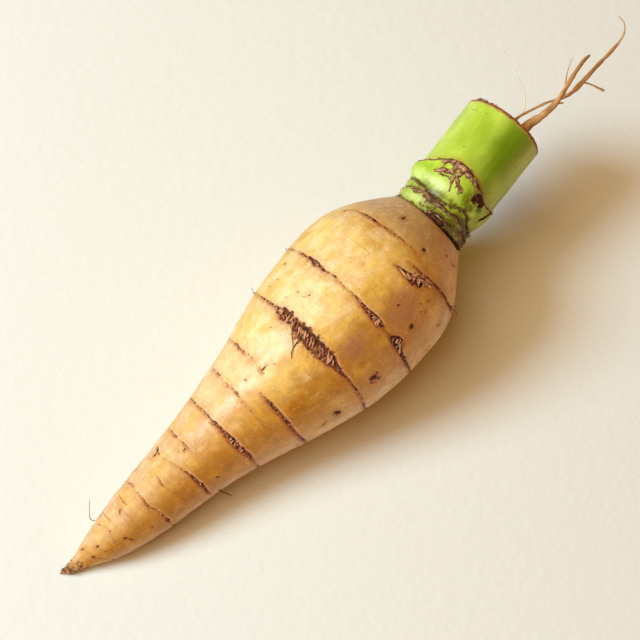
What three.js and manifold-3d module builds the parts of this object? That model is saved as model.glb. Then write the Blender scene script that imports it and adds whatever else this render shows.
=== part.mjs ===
// A tapering root vegetable lying on its side, with a short stalk cut square, torn leaf-sheath
// collars where the stalk leaves the crown, and a few dried rootlets. Millimetres, +Z up.
// The origin is on the resting surface under the thick part of the root. +X runs from the thin
// tip towards the stalk.
import * as THREE from 'three';
import { mergeVertices } from 'three/addons/utils/BufferGeometryUtils.js';
import Module from 'manifold-3d';

const wasm = await Module();
wasm.setup();

const { degToRad } = THREE.MathUtils;

// ---------------------------------------------------------------------------------------------
// Driving dimensions
// ---------------------------------------------------------------------------------------------

const GAP = 0.3; // clearance between pieces that touch

// Root: a station is a distance from the tip along the centre line.
const ROOT_LENGTH = 198;
const ROOT_PITCH = degToRad(11); // the centre line climbs towards the crown
const REST_STATION = 140; // the origin lies below this station
const TIP_HEIGHT = 3.5; // the centre line's height at the tip, before the tip droops
const TIP_DROOP = 2.2;
const TIP_DROOP_LENGTH = 9;
const PRESSED_DEPTH = 0.5; // how much of the underside is pressed flat where the root rests
const CROWN_RISE = 0.5; // the crown domes this much past the last station
const CROWN_TOP_RADIUS = 16.5;
const ROOT_SEGMENTS = 48;
const RING_STEP = 5; // spacing of the plain rings along the root

// Station, radius, and sideways drift of the centre line.
const ROOT_OUTLINE = [
  [0, 1, 10],
  [8, 3.5, 7.5],
  [20, 8, 5.5],
  [38, 12, 4],
  [70, 16.5, 2.5],
  [90, 21, 1],
  [110, 26.5, -0.5],
  [130, 32, -1],
  [145, 34, -1],
  [160, 34.5, -0.5],
  [172, 33.5, -0.5],
  [182, 29.5, -0.5],
  [192, 22.5, 0],
  [198, 17.8, 0],
];

// Ring scars left by old leaves: station, half width, depth, and the stretch of the way round that
// each one covers, in degrees from the left side (+Y) over the top.
const RING_SCARS = [
  [43, 1, 0.4, 20, 155],
  [61, 1, 0.4, 35, 160],
  [69, 1, 0.4, 200, 300],
  [82.5, 1.6, 0.7, 15, 215],
  [96, 1.2, 0.4, 25, 120],
  [102, 1.6, 0.7, 95, 240],
  [110, 1.2, 0.4, 10, 85],
  [129.5, 2.6, 0.9, 10, 245],
  [152.5, 1.6, 0.8, 0, 260],
  [180.5, 1.4, 0.6, 30, 175],
];
const SCAR_FADE = 12; // degrees over which a scar runs out at each end

// Stalk: leaves the crown a little higher than the root's centre line, and turned to the left.
const STALK_LENGTH = 52.5;
const STALK_PITCH = degToRad(9);
const STALK_TURN = degToRad(5.5);
const STALK_LIFT = 1.5;
const STALK_SHIFT = 0.3;
const CUT_DISH = 0.8; // the cut face has dried and sunk this much
const CUT_BEVEL = 0.6;
const ROUND_SEGMENTS = 40;

// Distance along the stalk, and its radius: a waist at the crown that flares out.
const STALK_OUTLINE = [
  [-3, 12.2],
  [2, 12.8],
  [5, 13.4],
  [10, 15],
  [14, 16.3],
  [18, 17],
  [22, 17.3],
  [52.5, 17.4],
];

// Leaf-sheath collars: each one lies on the one inside it.
const SHEATH_THICKNESS = 0.9;
const SHEATH_LAYER = SHEATH_THICKNESS + GAP;
// Torn top edge of each collar: angle from the left side over the top, distance along the stalk.
const UPPER_SHEATH_EDGE = [
  [0, 18],
  [42, 20],
  [70, 24],
  [98, 24],
  [122, 21],
  [147, 18.5],
  [180, 20.5],
  [250, 22.5],
  [310, 19],
  [360, 18],
];
const MIDDLE_SHEATH_EDGE = [
  [0, 10.5],
  [30, 10],
  [66, 8],
  [93, 7.5],
  [127, 10],
  [158, 7],
  [220, 10],
  [300, 8.5],
  [360, 10.5],
];
const LOWER_SHEATH_EDGE = [
  [0, 5],
  [46, 6.5],
  [72, 6.5],
  [105, 5],
  [119, 6],
  [152, 4],
  [220, 5.5],
  [300, 4.5],
  [360, 5],
];
const SHEATH_START = -3; // below the crown, where the root's top then trims the collars
const SHEATH_ROWS = 4;

// Dried strands: where each leaves the cut face, left and up from its centre, and then the route
// of points that it follows.
const DRIED_SHOOT_START = [-7.6, 10];
const DRIED_SHOOT = [
  [111.7, -2.5, 61.5],
  [116.7, -3.6, 62],
  [125, -4.4, 63],
  [129.5, -3.7, 63.5],
  [138, -1.9, 64.5],
  [147, -0.2, 65],
  [152, -0.3, 64.5],
];
const DRIED_SHOOT_BRANCH = [
  [133, -2.6, 64],
  [138, 0.6, 64.7],
  [142, 2.5, 65.2],
  [145.3, 3.7, 65.5],
];
const DRIED_SHOOT_STUB = [
  [125.4, -4.2, 63],
  [127, -5.4, 63],
  [128.4, -6.4, 62.8],
];
const THIN_ROOTLET_START = [-2, 8.8];
const THIN_ROOTLET = [
  [111.5, 2.8, 60],
  [118, 1.1, 60],
  [124.7, -1.1, 60],
  [131.3, -4.1, 59.6],
  [136, -5.2, 59.4],
  [145, -5.2, 59.6],
  [154.2, -4.9, 60],
  [163.3, -4.8, 60.5],
  [167.7, -4.5, 61],
  [171, -3.8, 62],
  [173.5, -2, 63],
  [174.4, 0, 64],
  [173.9, 2.8, 65],
];
const THIN_ROOTLET_BRANCH = [
  [143, -5.4, 59.7],
  [145.8, -8.4, 58],
  [147.5, -11.6, 57],
  [148.8, -14, 56],
];
const PALE_HAIR_START = [-1.7, 4.1];
const PALE_HAIR = [
  [111.4, 3.4, 57.5],
  [114.8, 2.9, 59.5],
  [118.9, 5.7, 61],
  [121.4, 9.6, 62],
  [123.5, 14.7, 63],
  [126.7, 22.9, 63.5],
  [130.5, 33.9, 64],
  [133.2, 44.3, 64],
  [133.7, 49.3, 64],
];

// Hairs on the root: each step is a station, an angle and a height above the skin.
const TIP_WHISKER = [
  [23.4, 12, 0.6],
  [22.6, 14, 2.2],
  [24.6, 17, 4.2],
  [28.2, 21, 7.2],
];
const SIDE_WHISKER = [
  [65, 172, 0.6],
  [66, 175, 2.5],
  [67, 178, 4.6],
];
const CURLY_ROOTLET = [
  [131.5, 84, 0.5],
  [127.5, 86, 0.9],
  [123.8, 86, 0.6],
  [121, 88, 0.8],
  [119.5, 91, 0.7],
];

// ---------------------------------------------------------------------------------------------
// Helpers
// ---------------------------------------------------------------------------------------------

// A smooth curve through a table's points, whose first column is the key: cubic pieces whose
// slope at each point is the slope between its two neighbours.
function smooth(table, key, column) {
  const last = table.length - 1;
  const slope = (i) => {
    const a = table[Math.max(i - 1, 0)];
    const b = table[Math.min(i + 1, last)];
    return (b[column] - a[column]) / (b[0] - a[0]);
  };
  let i = 0;
  while (i < last - 1 && key > table[i + 1][0]) i += 1;
  const width = table[i + 1][0] - table[i][0];
  const t = THREE.MathUtils.clamp((key - table[i][0]) / width, 0, 1);
  const rest = 1 - t;
  return (
    (1 + 2 * t) * rest * rest * table[i][column] +
    t * rest * rest * width * slope(i) +
    t * t * (3 - 2 * t) * table[i + 1][column] -
    t * t * rest * width * slope(i + 1)
  );
}

// Moves every vertex of a geometry with place(vector), which changes the vector.
function reshape(geometry, place) {
  const position = geometry.getAttribute('position');
  const point = new THREE.Vector3();
  for (let i = 0; i < position.count; i += 1) {
    place(point.fromBufferAttribute(position, i), i);
    position.setXYZ(i, point.x, point.y, point.z);
  }
  return geometry;
}

function toSolid(geometry) {
  const bare = geometry.clone();
  bare.deleteAttribute('normal');
  bare.deleteAttribute('uv');
  const merged = mergeVertices(bare, 1e-3);
  return new wasm.Manifold(
    new wasm.Mesh({
      numProp: 3,
      vertProperties: merged.getAttribute('position').array,
      triVerts: new Uint32Array(merged.index.array),
    }),
  );
}

function toGeometry(solid) {
  const mesh = solid.getMesh();
  const geometry = new THREE.BufferGeometry();
  geometry.setAttribute('position', new THREE.BufferAttribute(mesh.vertProperties, 3));
  geometry.setIndex(new THREE.BufferAttribute(mesh.triVerts, 1));
  geometry.computeVertexNormals();
  return geometry;
}

function piece(name, geometry, colour, roughness) {
  const material = new THREE.MeshStandardMaterial({ color: colour, roughness, metalness: 0 });
  const mesh = new THREE.Mesh(geometry, material);
  mesh.name = name;
  return mesh;
}

// A tube along a route of points that narrows from one radius to another, with closed ends.
function taperedTube(route, startRadius, endRadius, steps, sides) {
  const path = new THREE.CatmullRomCurve3(route.map((p) => new THREE.Vector3(...p)));
  const section = new THREE.Shape();
  for (let k = 0; k < sides; k += 1) {
    const angle = (k / sides) * Math.PI * 2;
    const point = [startRadius * Math.cos(angle), startRadius * Math.sin(angle)];
    if (k === 0) section.moveTo(...point);
    else section.lineTo(...point);
  }
  const tube = new THREE.ExtrudeGeometry(section, { steps, extrudePath: path, bevelEnabled: false });
  const centres = path.getSpacedPoints(steps);
  return reshape(tube, (point) => {
    let nearest = 0;
    centres.forEach((centre, k) => {
      if (point.distanceTo(centre) < point.distanceTo(centres[nearest])) nearest = k;
    });
    const narrowing = 1 + ((endRadius / startRadius - 1) * nearest) / steps;
    point.sub(centres[nearest]).multiplyScalar(narrowing).add(centres[nearest]);
  });
}

function joined(...geometries) {
  const [first, ...others] = geometries.map(toSolid);
  return toGeometry(others.reduce((whole, next) => whole.add(next), first));
}

// ---------------------------------------------------------------------------------------------
// Root
// ---------------------------------------------------------------------------------------------

function centreHeight(station) {
  const droop = TIP_DROOP * Math.exp(-((station / TIP_DROOP_LENGTH) ** 2));
  return TIP_HEIGHT + station * Math.sin(ROOT_PITCH) - droop;
}

function centreX(station) {
  return (station - REST_STATION) * Math.cos(ROOT_PITCH);
}

// How deep the ring scars cut into the skin at a station and an angle.
function scarDepth(station, degrees) {
  let depth = 0;
  for (const [at, halfWidth, deepest, from, to] of RING_SCARS) {
    const across = 1 - Math.abs(station - at) / halfWidth;
    const along = Math.min(degrees - from, to - degrees) / SCAR_FADE;
    if (across > 0) depth += deepest * across * THREE.MathUtils.clamp(along, 0, 1);
  }
  return depth;
}

// A point of the skin. The angle runs from the left side (+Y) over the top. The lower half of
// each section is an ellipse, no deeper than the surface that the root rests on.
function skinPoint(target, station, angle, radius) {
  const height = centreHeight(station);
  const across = Math.cos(angle) * radius;
  const lowest = Math.min(radius, (height + PRESSED_DEPTH) / Math.cos(ROOT_PITCH));
  const up = Math.sin(angle) * (Math.sin(angle) < 0 ? lowest : radius);
  const clamped = THREE.MathUtils.clamp(station, 0, ROOT_LENGTH);
  return target.set(
    centreX(station) - up * Math.sin(ROOT_PITCH),
    smooth(ROOT_OUTLINE, clamped, 2) + across,
    Math.max(height + up * Math.cos(ROOT_PITCH), 0),
  );
}

function rootStations() {
  const stations = [];
  const nearScar = (s) => RING_SCARS.some(([at, halfWidth]) => Math.abs(s - at) < halfWidth + 1.5);
  for (let s = 0; s <= ROOT_LENGTH; s += RING_STEP) {
    if (!nearScar(s)) stations.push(s);
  }
  for (const [at, halfWidth] of RING_SCARS) stations.push(at - halfWidth, at, at + halfWidth);
  return stations.sort((a, b) => a - b);
}

function makeRoot() {
  const stations = rootStations();
  const profile = stations.map((s) => new THREE.Vector2(smooth(ROOT_OUTLINE, s, 1), s));
  profile.unshift(new THREE.Vector2(0, -1));
  profile.push(new THREE.Vector2(CROWN_TOP_RADIUS, ROOT_LENGTH + CROWN_RISE));
  profile.push(new THREE.Vector2(0, ROOT_LENGTH + CROWN_RISE));
  const root = new THREE.LatheGeometry(profile, ROOT_SEGMENTS);
  return reshape(root, (point) => {
    const station = point.y;
    const angle = Math.atan2(point.x, point.z);
    const degrees = ((angle * 180) / Math.PI + 360) % 360;
    const radius = Math.hypot(point.x, point.z);
    const cut = radius > 0 ? scarDepth(station, degrees) : 0;
    skinPoint(point, station, angle, radius - cut);
  });
}

// ---------------------------------------------------------------------------------------------
// Stalk and sheath collars, made upright along +Z and then laid over
// ---------------------------------------------------------------------------------------------

// A lathe about +Z, with its angle counted from +X towards +Y.
function latheAboutZ(profile) {
  const points = profile.map(([radius, height]) => new THREE.Vector2(radius, height));
  const lathe = new THREE.LatheGeometry(points, ROUND_SEGMENTS);
  return lathe.rotateX(Math.PI / 2);
}

function makeStalk() {
  const side = STALK_OUTLINE.map(([distance, radius]) => [radius, distance]);
  side[side.length - 1][1] = STALK_LENGTH - CUT_BEVEL;
  const rim = STALK_OUTLINE[STALK_OUTLINE.length - 1][1];
  const face = [
    [rim - CUT_BEVEL, STALK_LENGTH],
    [rim - 3, STALK_LENGTH - CUT_DISH / 2],
    [0, STALK_LENGTH - CUT_DISH],
  ];
  return latheAboutZ([[0, STALK_OUTLINE[0][0]], ...side, ...face]);
}

// A collar, layer 0 nearest the stalk. Its rows run up to the torn edge, which differs all round.
function makeSheath(layer, edge) {
  const inner = [];
  const outer = [];
  for (let k = 0; k <= SHEATH_ROWS; k += 1) {
    inner.push([1, k / SHEATH_ROWS]);
    outer.push([2, k / SHEATH_ROWS]);
  }
  const loop = [...outer, ...inner.reverse(), outer[0]];
  return reshape(latheAboutZ(loop), (point) => {
    const angle = Math.atan2(point.y, point.x);
    const degrees = ((angle * 180) / Math.PI + 360) % 360;
    const distance = SHEATH_START + point.z * (smooth(edge, degrees, 1) - SHEATH_START);
    const side = Math.hypot(point.x, point.y) - 1;
    const radius =
      smooth(STALK_OUTLINE, distance, 1) + GAP + layer * SHEATH_LAYER + side * SHEATH_THICKNESS;
    point.set(radius * Math.cos(angle), radius * Math.sin(angle), distance);
  });
}

// The stalk's own frame: left, up and along its axis, starting at the crown.
function stalkFrame() {
  const along = new THREE.Vector3(
    Math.cos(STALK_PITCH) * Math.cos(STALK_TURN),
    Math.cos(STALK_PITCH) * Math.sin(STALK_TURN),
    Math.sin(STALK_PITCH),
  );
  const left = new THREE.Vector3(0, 0, 1).cross(along).normalize();
  const up = along.clone().cross(left);
  const frame = new THREE.Matrix4().makeBasis(left, up, along);
  return frame.setPosition(
    centreX(ROOT_LENGTH),
    STALK_SHIFT,
    centreHeight(ROOT_LENGTH) + STALK_LIFT,
  );
}

// A block that fills everything from just above the crown's top down into the root.
function crownTrimmer() {
  const depth = 40;
  const width = 120;
  const block = new THREE.BoxGeometry(depth, width, width);
  block.translate(CROWN_RISE + GAP - depth / 2, 0, 0);
  block.rotateY(-ROOT_PITCH);
  return block.translate(centreX(ROOT_LENGTH), 0, centreHeight(ROOT_LENGTH));
}

// Lays an upright geometry over, along the stalk's own axis, and trims it above the crown.
function placeOnCrown(geometry) {
  const laid = geometry.clone().applyMatrix4(stalkFrame());
  return toGeometry(toSolid(laid).subtract(toSolid(crownTrimmer())));
}

// ---------------------------------------------------------------------------------------------
// Dried strands and hairs
// ---------------------------------------------------------------------------------------------

// A strand that starts just clear of the sunken cut face and then follows its route.
function strandFromCut([left, up], route, startRadius, endRadius, steps, sides) {
  const start = new THREE.Vector3(left, up, STALK_LENGTH).applyMatrix4(stalkFrame());
  return taperedTube([start.toArray(), ...route], startRadius, endRadius, steps, sides);
}

// A hair that starts on the skin and stays clear of it.
function skinHair(steps, radius, tubeSteps) {
  const route = steps.map(([station, degrees, above]) => {
    const reach = smooth(ROOT_OUTLINE, station, 1) + above;
    return skinPoint(new THREE.Vector3(), station, degToRad(degrees), reach).toArray();
  });
  return taperedTube(route, radius, radius * 0.5, tubeSteps, 6);
}

// ---------------------------------------------------------------------------------------------
// Assembly
// ---------------------------------------------------------------------------------------------

const vegetable = new THREE.Group();

vegetable.add(
  piece('root', makeRoot(), 0xd2a35c, 0.55),
  piece('stalk', placeOnCrown(makeStalk()), 0x9dbb3c, 0.45),
  piece('sheath_upper', placeOnCrown(makeSheath(0, UPPER_SHEATH_EDGE)), 0x93b035, 0.5),
  piece('sheath_middle', placeOnCrown(makeSheath(1, MIDDLE_SHEATH_EDGE)), 0x8ea13a, 0.6),
  piece('sheath_lower', placeOnCrown(makeSheath(2, LOWER_SHEATH_EDGE)), 0x9a7a48, 0.75),
  piece(
    'dried_shoot',
    joined(
      strandFromCut(DRIED_SHOOT_START, DRIED_SHOOT, 1.5, 0.65, 24, 8),
      taperedTube(DRIED_SHOOT_BRANCH, 0.4, 0.2, 8, 6),
      taperedTube(DRIED_SHOOT_STUB, 0.6, 0.4, 4, 6),
    ),
    0xb98b58,
    0.8,
  ),
  piece(
    'thin_rootlet',
    joined(
      strandFromCut(THIN_ROOTLET_START, THIN_ROOTLET, 0.7, 0.35, 40, 8),
      taperedTube(THIN_ROOTLET_BRANCH, 0.45, 0.3, 8, 6),
    ),
    0xc49a68,
    0.8,
  ),
  piece('pale_hair', strandFromCut(PALE_HAIR_START, PALE_HAIR, 0.3, 0.2, 30, 6), 0xe2cf9f, 0.7),
  piece('tip_whisker', skinHair(TIP_WHISKER, 0.22, 8), 0xa8906a, 0.8),
  piece('side_whisker', skinHair(SIDE_WHISKER, 0.3, 4), 0x5c3a22, 0.8),
  piece('curly_rootlet', skinHair(CURLY_ROOTLET, 0.25, 14), 0x4a2c1a, 0.8),
);

export default vegetable;
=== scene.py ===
"""A tapering root vegetable with a cut green stalk, dressed for rendering.

The file is laid out as an add-on and run as a script. Each operator builds one piece, or a group
of like pieces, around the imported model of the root. Shapes are worked out in millimetres, in the
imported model's frame, and turned into metres when a mesh is made.
"""

import math

import bpy
import numpy as np
from bpy.props import FloatProperty, FloatVectorProperty, IntProperty, PointerProperty
from mathutils import Matrix, Vector


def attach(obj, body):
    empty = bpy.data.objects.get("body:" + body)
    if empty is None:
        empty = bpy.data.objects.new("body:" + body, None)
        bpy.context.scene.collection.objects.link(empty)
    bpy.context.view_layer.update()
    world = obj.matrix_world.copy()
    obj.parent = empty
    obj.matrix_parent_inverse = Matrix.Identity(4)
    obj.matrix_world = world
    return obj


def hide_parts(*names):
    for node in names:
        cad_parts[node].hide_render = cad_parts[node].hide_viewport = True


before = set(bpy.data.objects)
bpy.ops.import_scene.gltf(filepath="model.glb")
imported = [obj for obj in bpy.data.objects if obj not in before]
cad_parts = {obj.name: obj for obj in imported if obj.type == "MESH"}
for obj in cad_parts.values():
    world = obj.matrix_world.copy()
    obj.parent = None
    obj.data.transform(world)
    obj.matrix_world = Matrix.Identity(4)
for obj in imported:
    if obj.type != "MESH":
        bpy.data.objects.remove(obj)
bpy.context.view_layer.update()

bl_info = {
    "name": "Tapering Root Vegetable",
    "version": (1, 0, 0),
    "blender": (4, 5, 0),
    "location": "View3D > Sidebar > Root",
    "description": "Skin, ring scars, stalk, leaf sheaths and dried strands of a root vegetable",
    "category": "Add Mesh",
}

MM = 0.001
BODY = "root"

# ---- Shape of the solids, in millimetres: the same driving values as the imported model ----

GAP = 0.3
ROOT_LENGTH = 198.0
ROOT_PITCH = math.radians(11)
REST_STATION = 140.0
TIP_HEIGHT = 3.5
TIP_DROOP = 2.2
TIP_DROOP_LENGTH = 9.0
PRESSED_DEPTH = 0.5
CROWN_RISE = 0.5

# Station, radius, and sideways drift of the centre line.
ROOT_OUTLINE = [
    (0, 1, 10), (8, 3.5, 7.5), (20, 8, 5.5), (38, 12, 4), (70, 16.5, 2.5), (90, 21, 1),
    (110, 26.5, -0.5), (130, 32, -1), (145, 34, -1), (160, 34.5, -0.5), (172, 33.5, -0.5),
    (182, 29.5, -0.5), (192, 22.5, 0), (198, 17.8, 0),
]

THICKEST = 34  # the root's radius at its thickest, about

STALK_LENGTH = 52.5
STALK_PITCH = math.radians(9)
STALK_TURN = math.radians(5.5)
STALK_LIFT = 1.5
STALK_SHIFT = 0.3
CUT_DISH = 0.8
STALK_OUTLINE = [
    (-3, 12.2), (2, 12.8), (5, 13.4), (10, 15), (14, 16.3), (18, 17), (22, 17.3), (52.5, 17.4),
]

SHEATH_THICKNESS = 0.9
SHEATH_LAYER = SHEATH_THICKNESS + GAP
# Torn top edge of each collar: angle from the left side over the top, distance along the stalk.
SHEATH_EDGES = {
    "sheath_upper": [
        (0, 18), (42, 20), (70, 24), (98, 24), (122, 21), (147, 18.5), (180, 20.5),
        (250, 22.5), (310, 19), (360, 18),
    ],
    "sheath_middle": [
        (0, 10.5), (30, 10), (66, 8), (93, 7.5), (127, 10), (158, 7), (220, 10), (300, 8.5),
        (360, 10.5),
    ],
    "sheath_lower": [
        (0, 5), (46, 6.5), (72, 6.5), (105, 5), (119, 6), (152, 4), (220, 5.5), (300, 4.5),
        (360, 5),
    ],
}

# Strands: where each leaves the cut face, left and up from its centre, then its route.
DRIED_SHOOT_START = (-7.6, 10)
DRIED_SHOOT = [
    (111.7, -2.5, 61.5), (116.7, -3.6, 62), (125, -4.4, 63), (129.5, -3.7, 63.5),
    (138, -1.9, 64.5), (147, -0.2, 65), (152, -0.3, 64.5),
]
DRIED_SHOOT_BRANCH = [(133, -2.6, 64), (138, 0.6, 64.7), (142, 2.5, 65.2), (145.3, 3.7, 65.5)]
DRIED_SHOOT_STUB = [(125.4, -4.2, 63), (127, -5.4, 63), (128.4, -6.4, 62.8)]
THIN_ROOTLET_START = (-2, 8.8)
THIN_ROOTLET = [
    (111.5, 2.8, 60), (118, 1.1, 60), (124.7, -1.1, 60), (131.3, -4.1, 59.6),
    (136, -5.2, 59.4), (145, -5.2, 59.6), (154.2, -4.9, 60), (163.3, -4.8, 60.5),
    (167.7, -4.5, 61), (171, -3.8, 62), (173.5, -2, 63), (174.4, 0, 64), (173.9, 2.8, 65),
]
THIN_ROOTLET_BRANCH = [(143, -5.4, 59.7), (145.8, -8.4, 58), (147.5, -11.6, 57), (148.8, -14, 56)]
PALE_HAIR_START = (-1.7, 4.1)
PALE_HAIR = [
    (111.4, 3.4, 57.5), (114.8, 2.9, 59.5), (118.9, 5.7, 61), (121.4, 9.6, 62),
    (123.5, 14.7, 63), (126.7, 22.9, 63.5), (130.5, 33.9, 64), (133.2, 44.3, 64),
    (133.7, 49.3, 64),
]

# Hairs on the root: station, angle and height above the skin.
TIP_WHISKER = [(23.4, 12, 0.1), (22.6, 14, 2.2), (24.6, 17, 4.2), (28.2, 21, 7.2)]
SIDE_WHISKER = [(65, 172, 0), (66, 175, 2.5), (67, 178, 4.6)]
CURLY_ROOTLETS = [
    [(131.5, 84, 0.1), (127.5, 86, 0.8), (123.8, 86, 0.5), (121, 88, 0.6), (119.5, 91, 0.5)],
    [(131.5, 75, 0.1), (128, 77, 0.7), (125.8, 80, 0.6), (124, 84, 0.5), (122.6, 86, 0.8)],
]

# Pale torn strips that stand up from scars: station, angle and height above the skin.
TORN_STRIPS = [
    [(172.6, 102, 0), (172.2, 109, 0.4), (172.6, 112, 0.5), (174.6, 116, 0.7), (175.6, 119, 0.6),
     (177.6, 128, 0.2)],
    [(173.4, 110, 0.1), (174.2, 114, 0.5), (175, 118, 0.5), (176, 123, 0.2)],
    [(176, 123, 0.2), (176.4, 127, 0.5), (176.6, 131, 0.1)],
    [(174.6, 117, 0.4), (174, 119, 0.6), (173.2, 120.5, 0.1)],
    [(174.2, 112, 0.2), (175.2, 114.5, 0.6), (175.8, 118, 0.3)],
    [(175.8, 119, 0.4), (175.4, 122, 0.7), (175.8, 125, 0.2)],
    [(152.6, 112, 0.1), (152.9, 115, 0.5), (152.6, 118, 0.4), (152.9, 121, 0.1)],
    [(152.0, 136, 0.1), (152.6, 138.5, 0.6), (152.2, 141.5, 0.1)],
]

# Short stiff hairs at the ends of ring scars.
EDGE_HAIRS = [
    [(130.4, 12, 0), (130.8, 8, 0.9), (131.6, 5, 1.9), (131.8, 3, 2.6)],
    [(178.9, 164, 0), (179.5, 167, 1.4), (179.4, 170, 2.4), (178.8, 172, 3.2)],
    [(179.2, 162, 0), (180.2, 164, 1.2), (181.2, 165, 2.2)],
    [(152.3, 5, 0), (153, 2, 1.0), (153.4, 0, 1.5)],
]

# ---- Marks on the root ----

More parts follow.
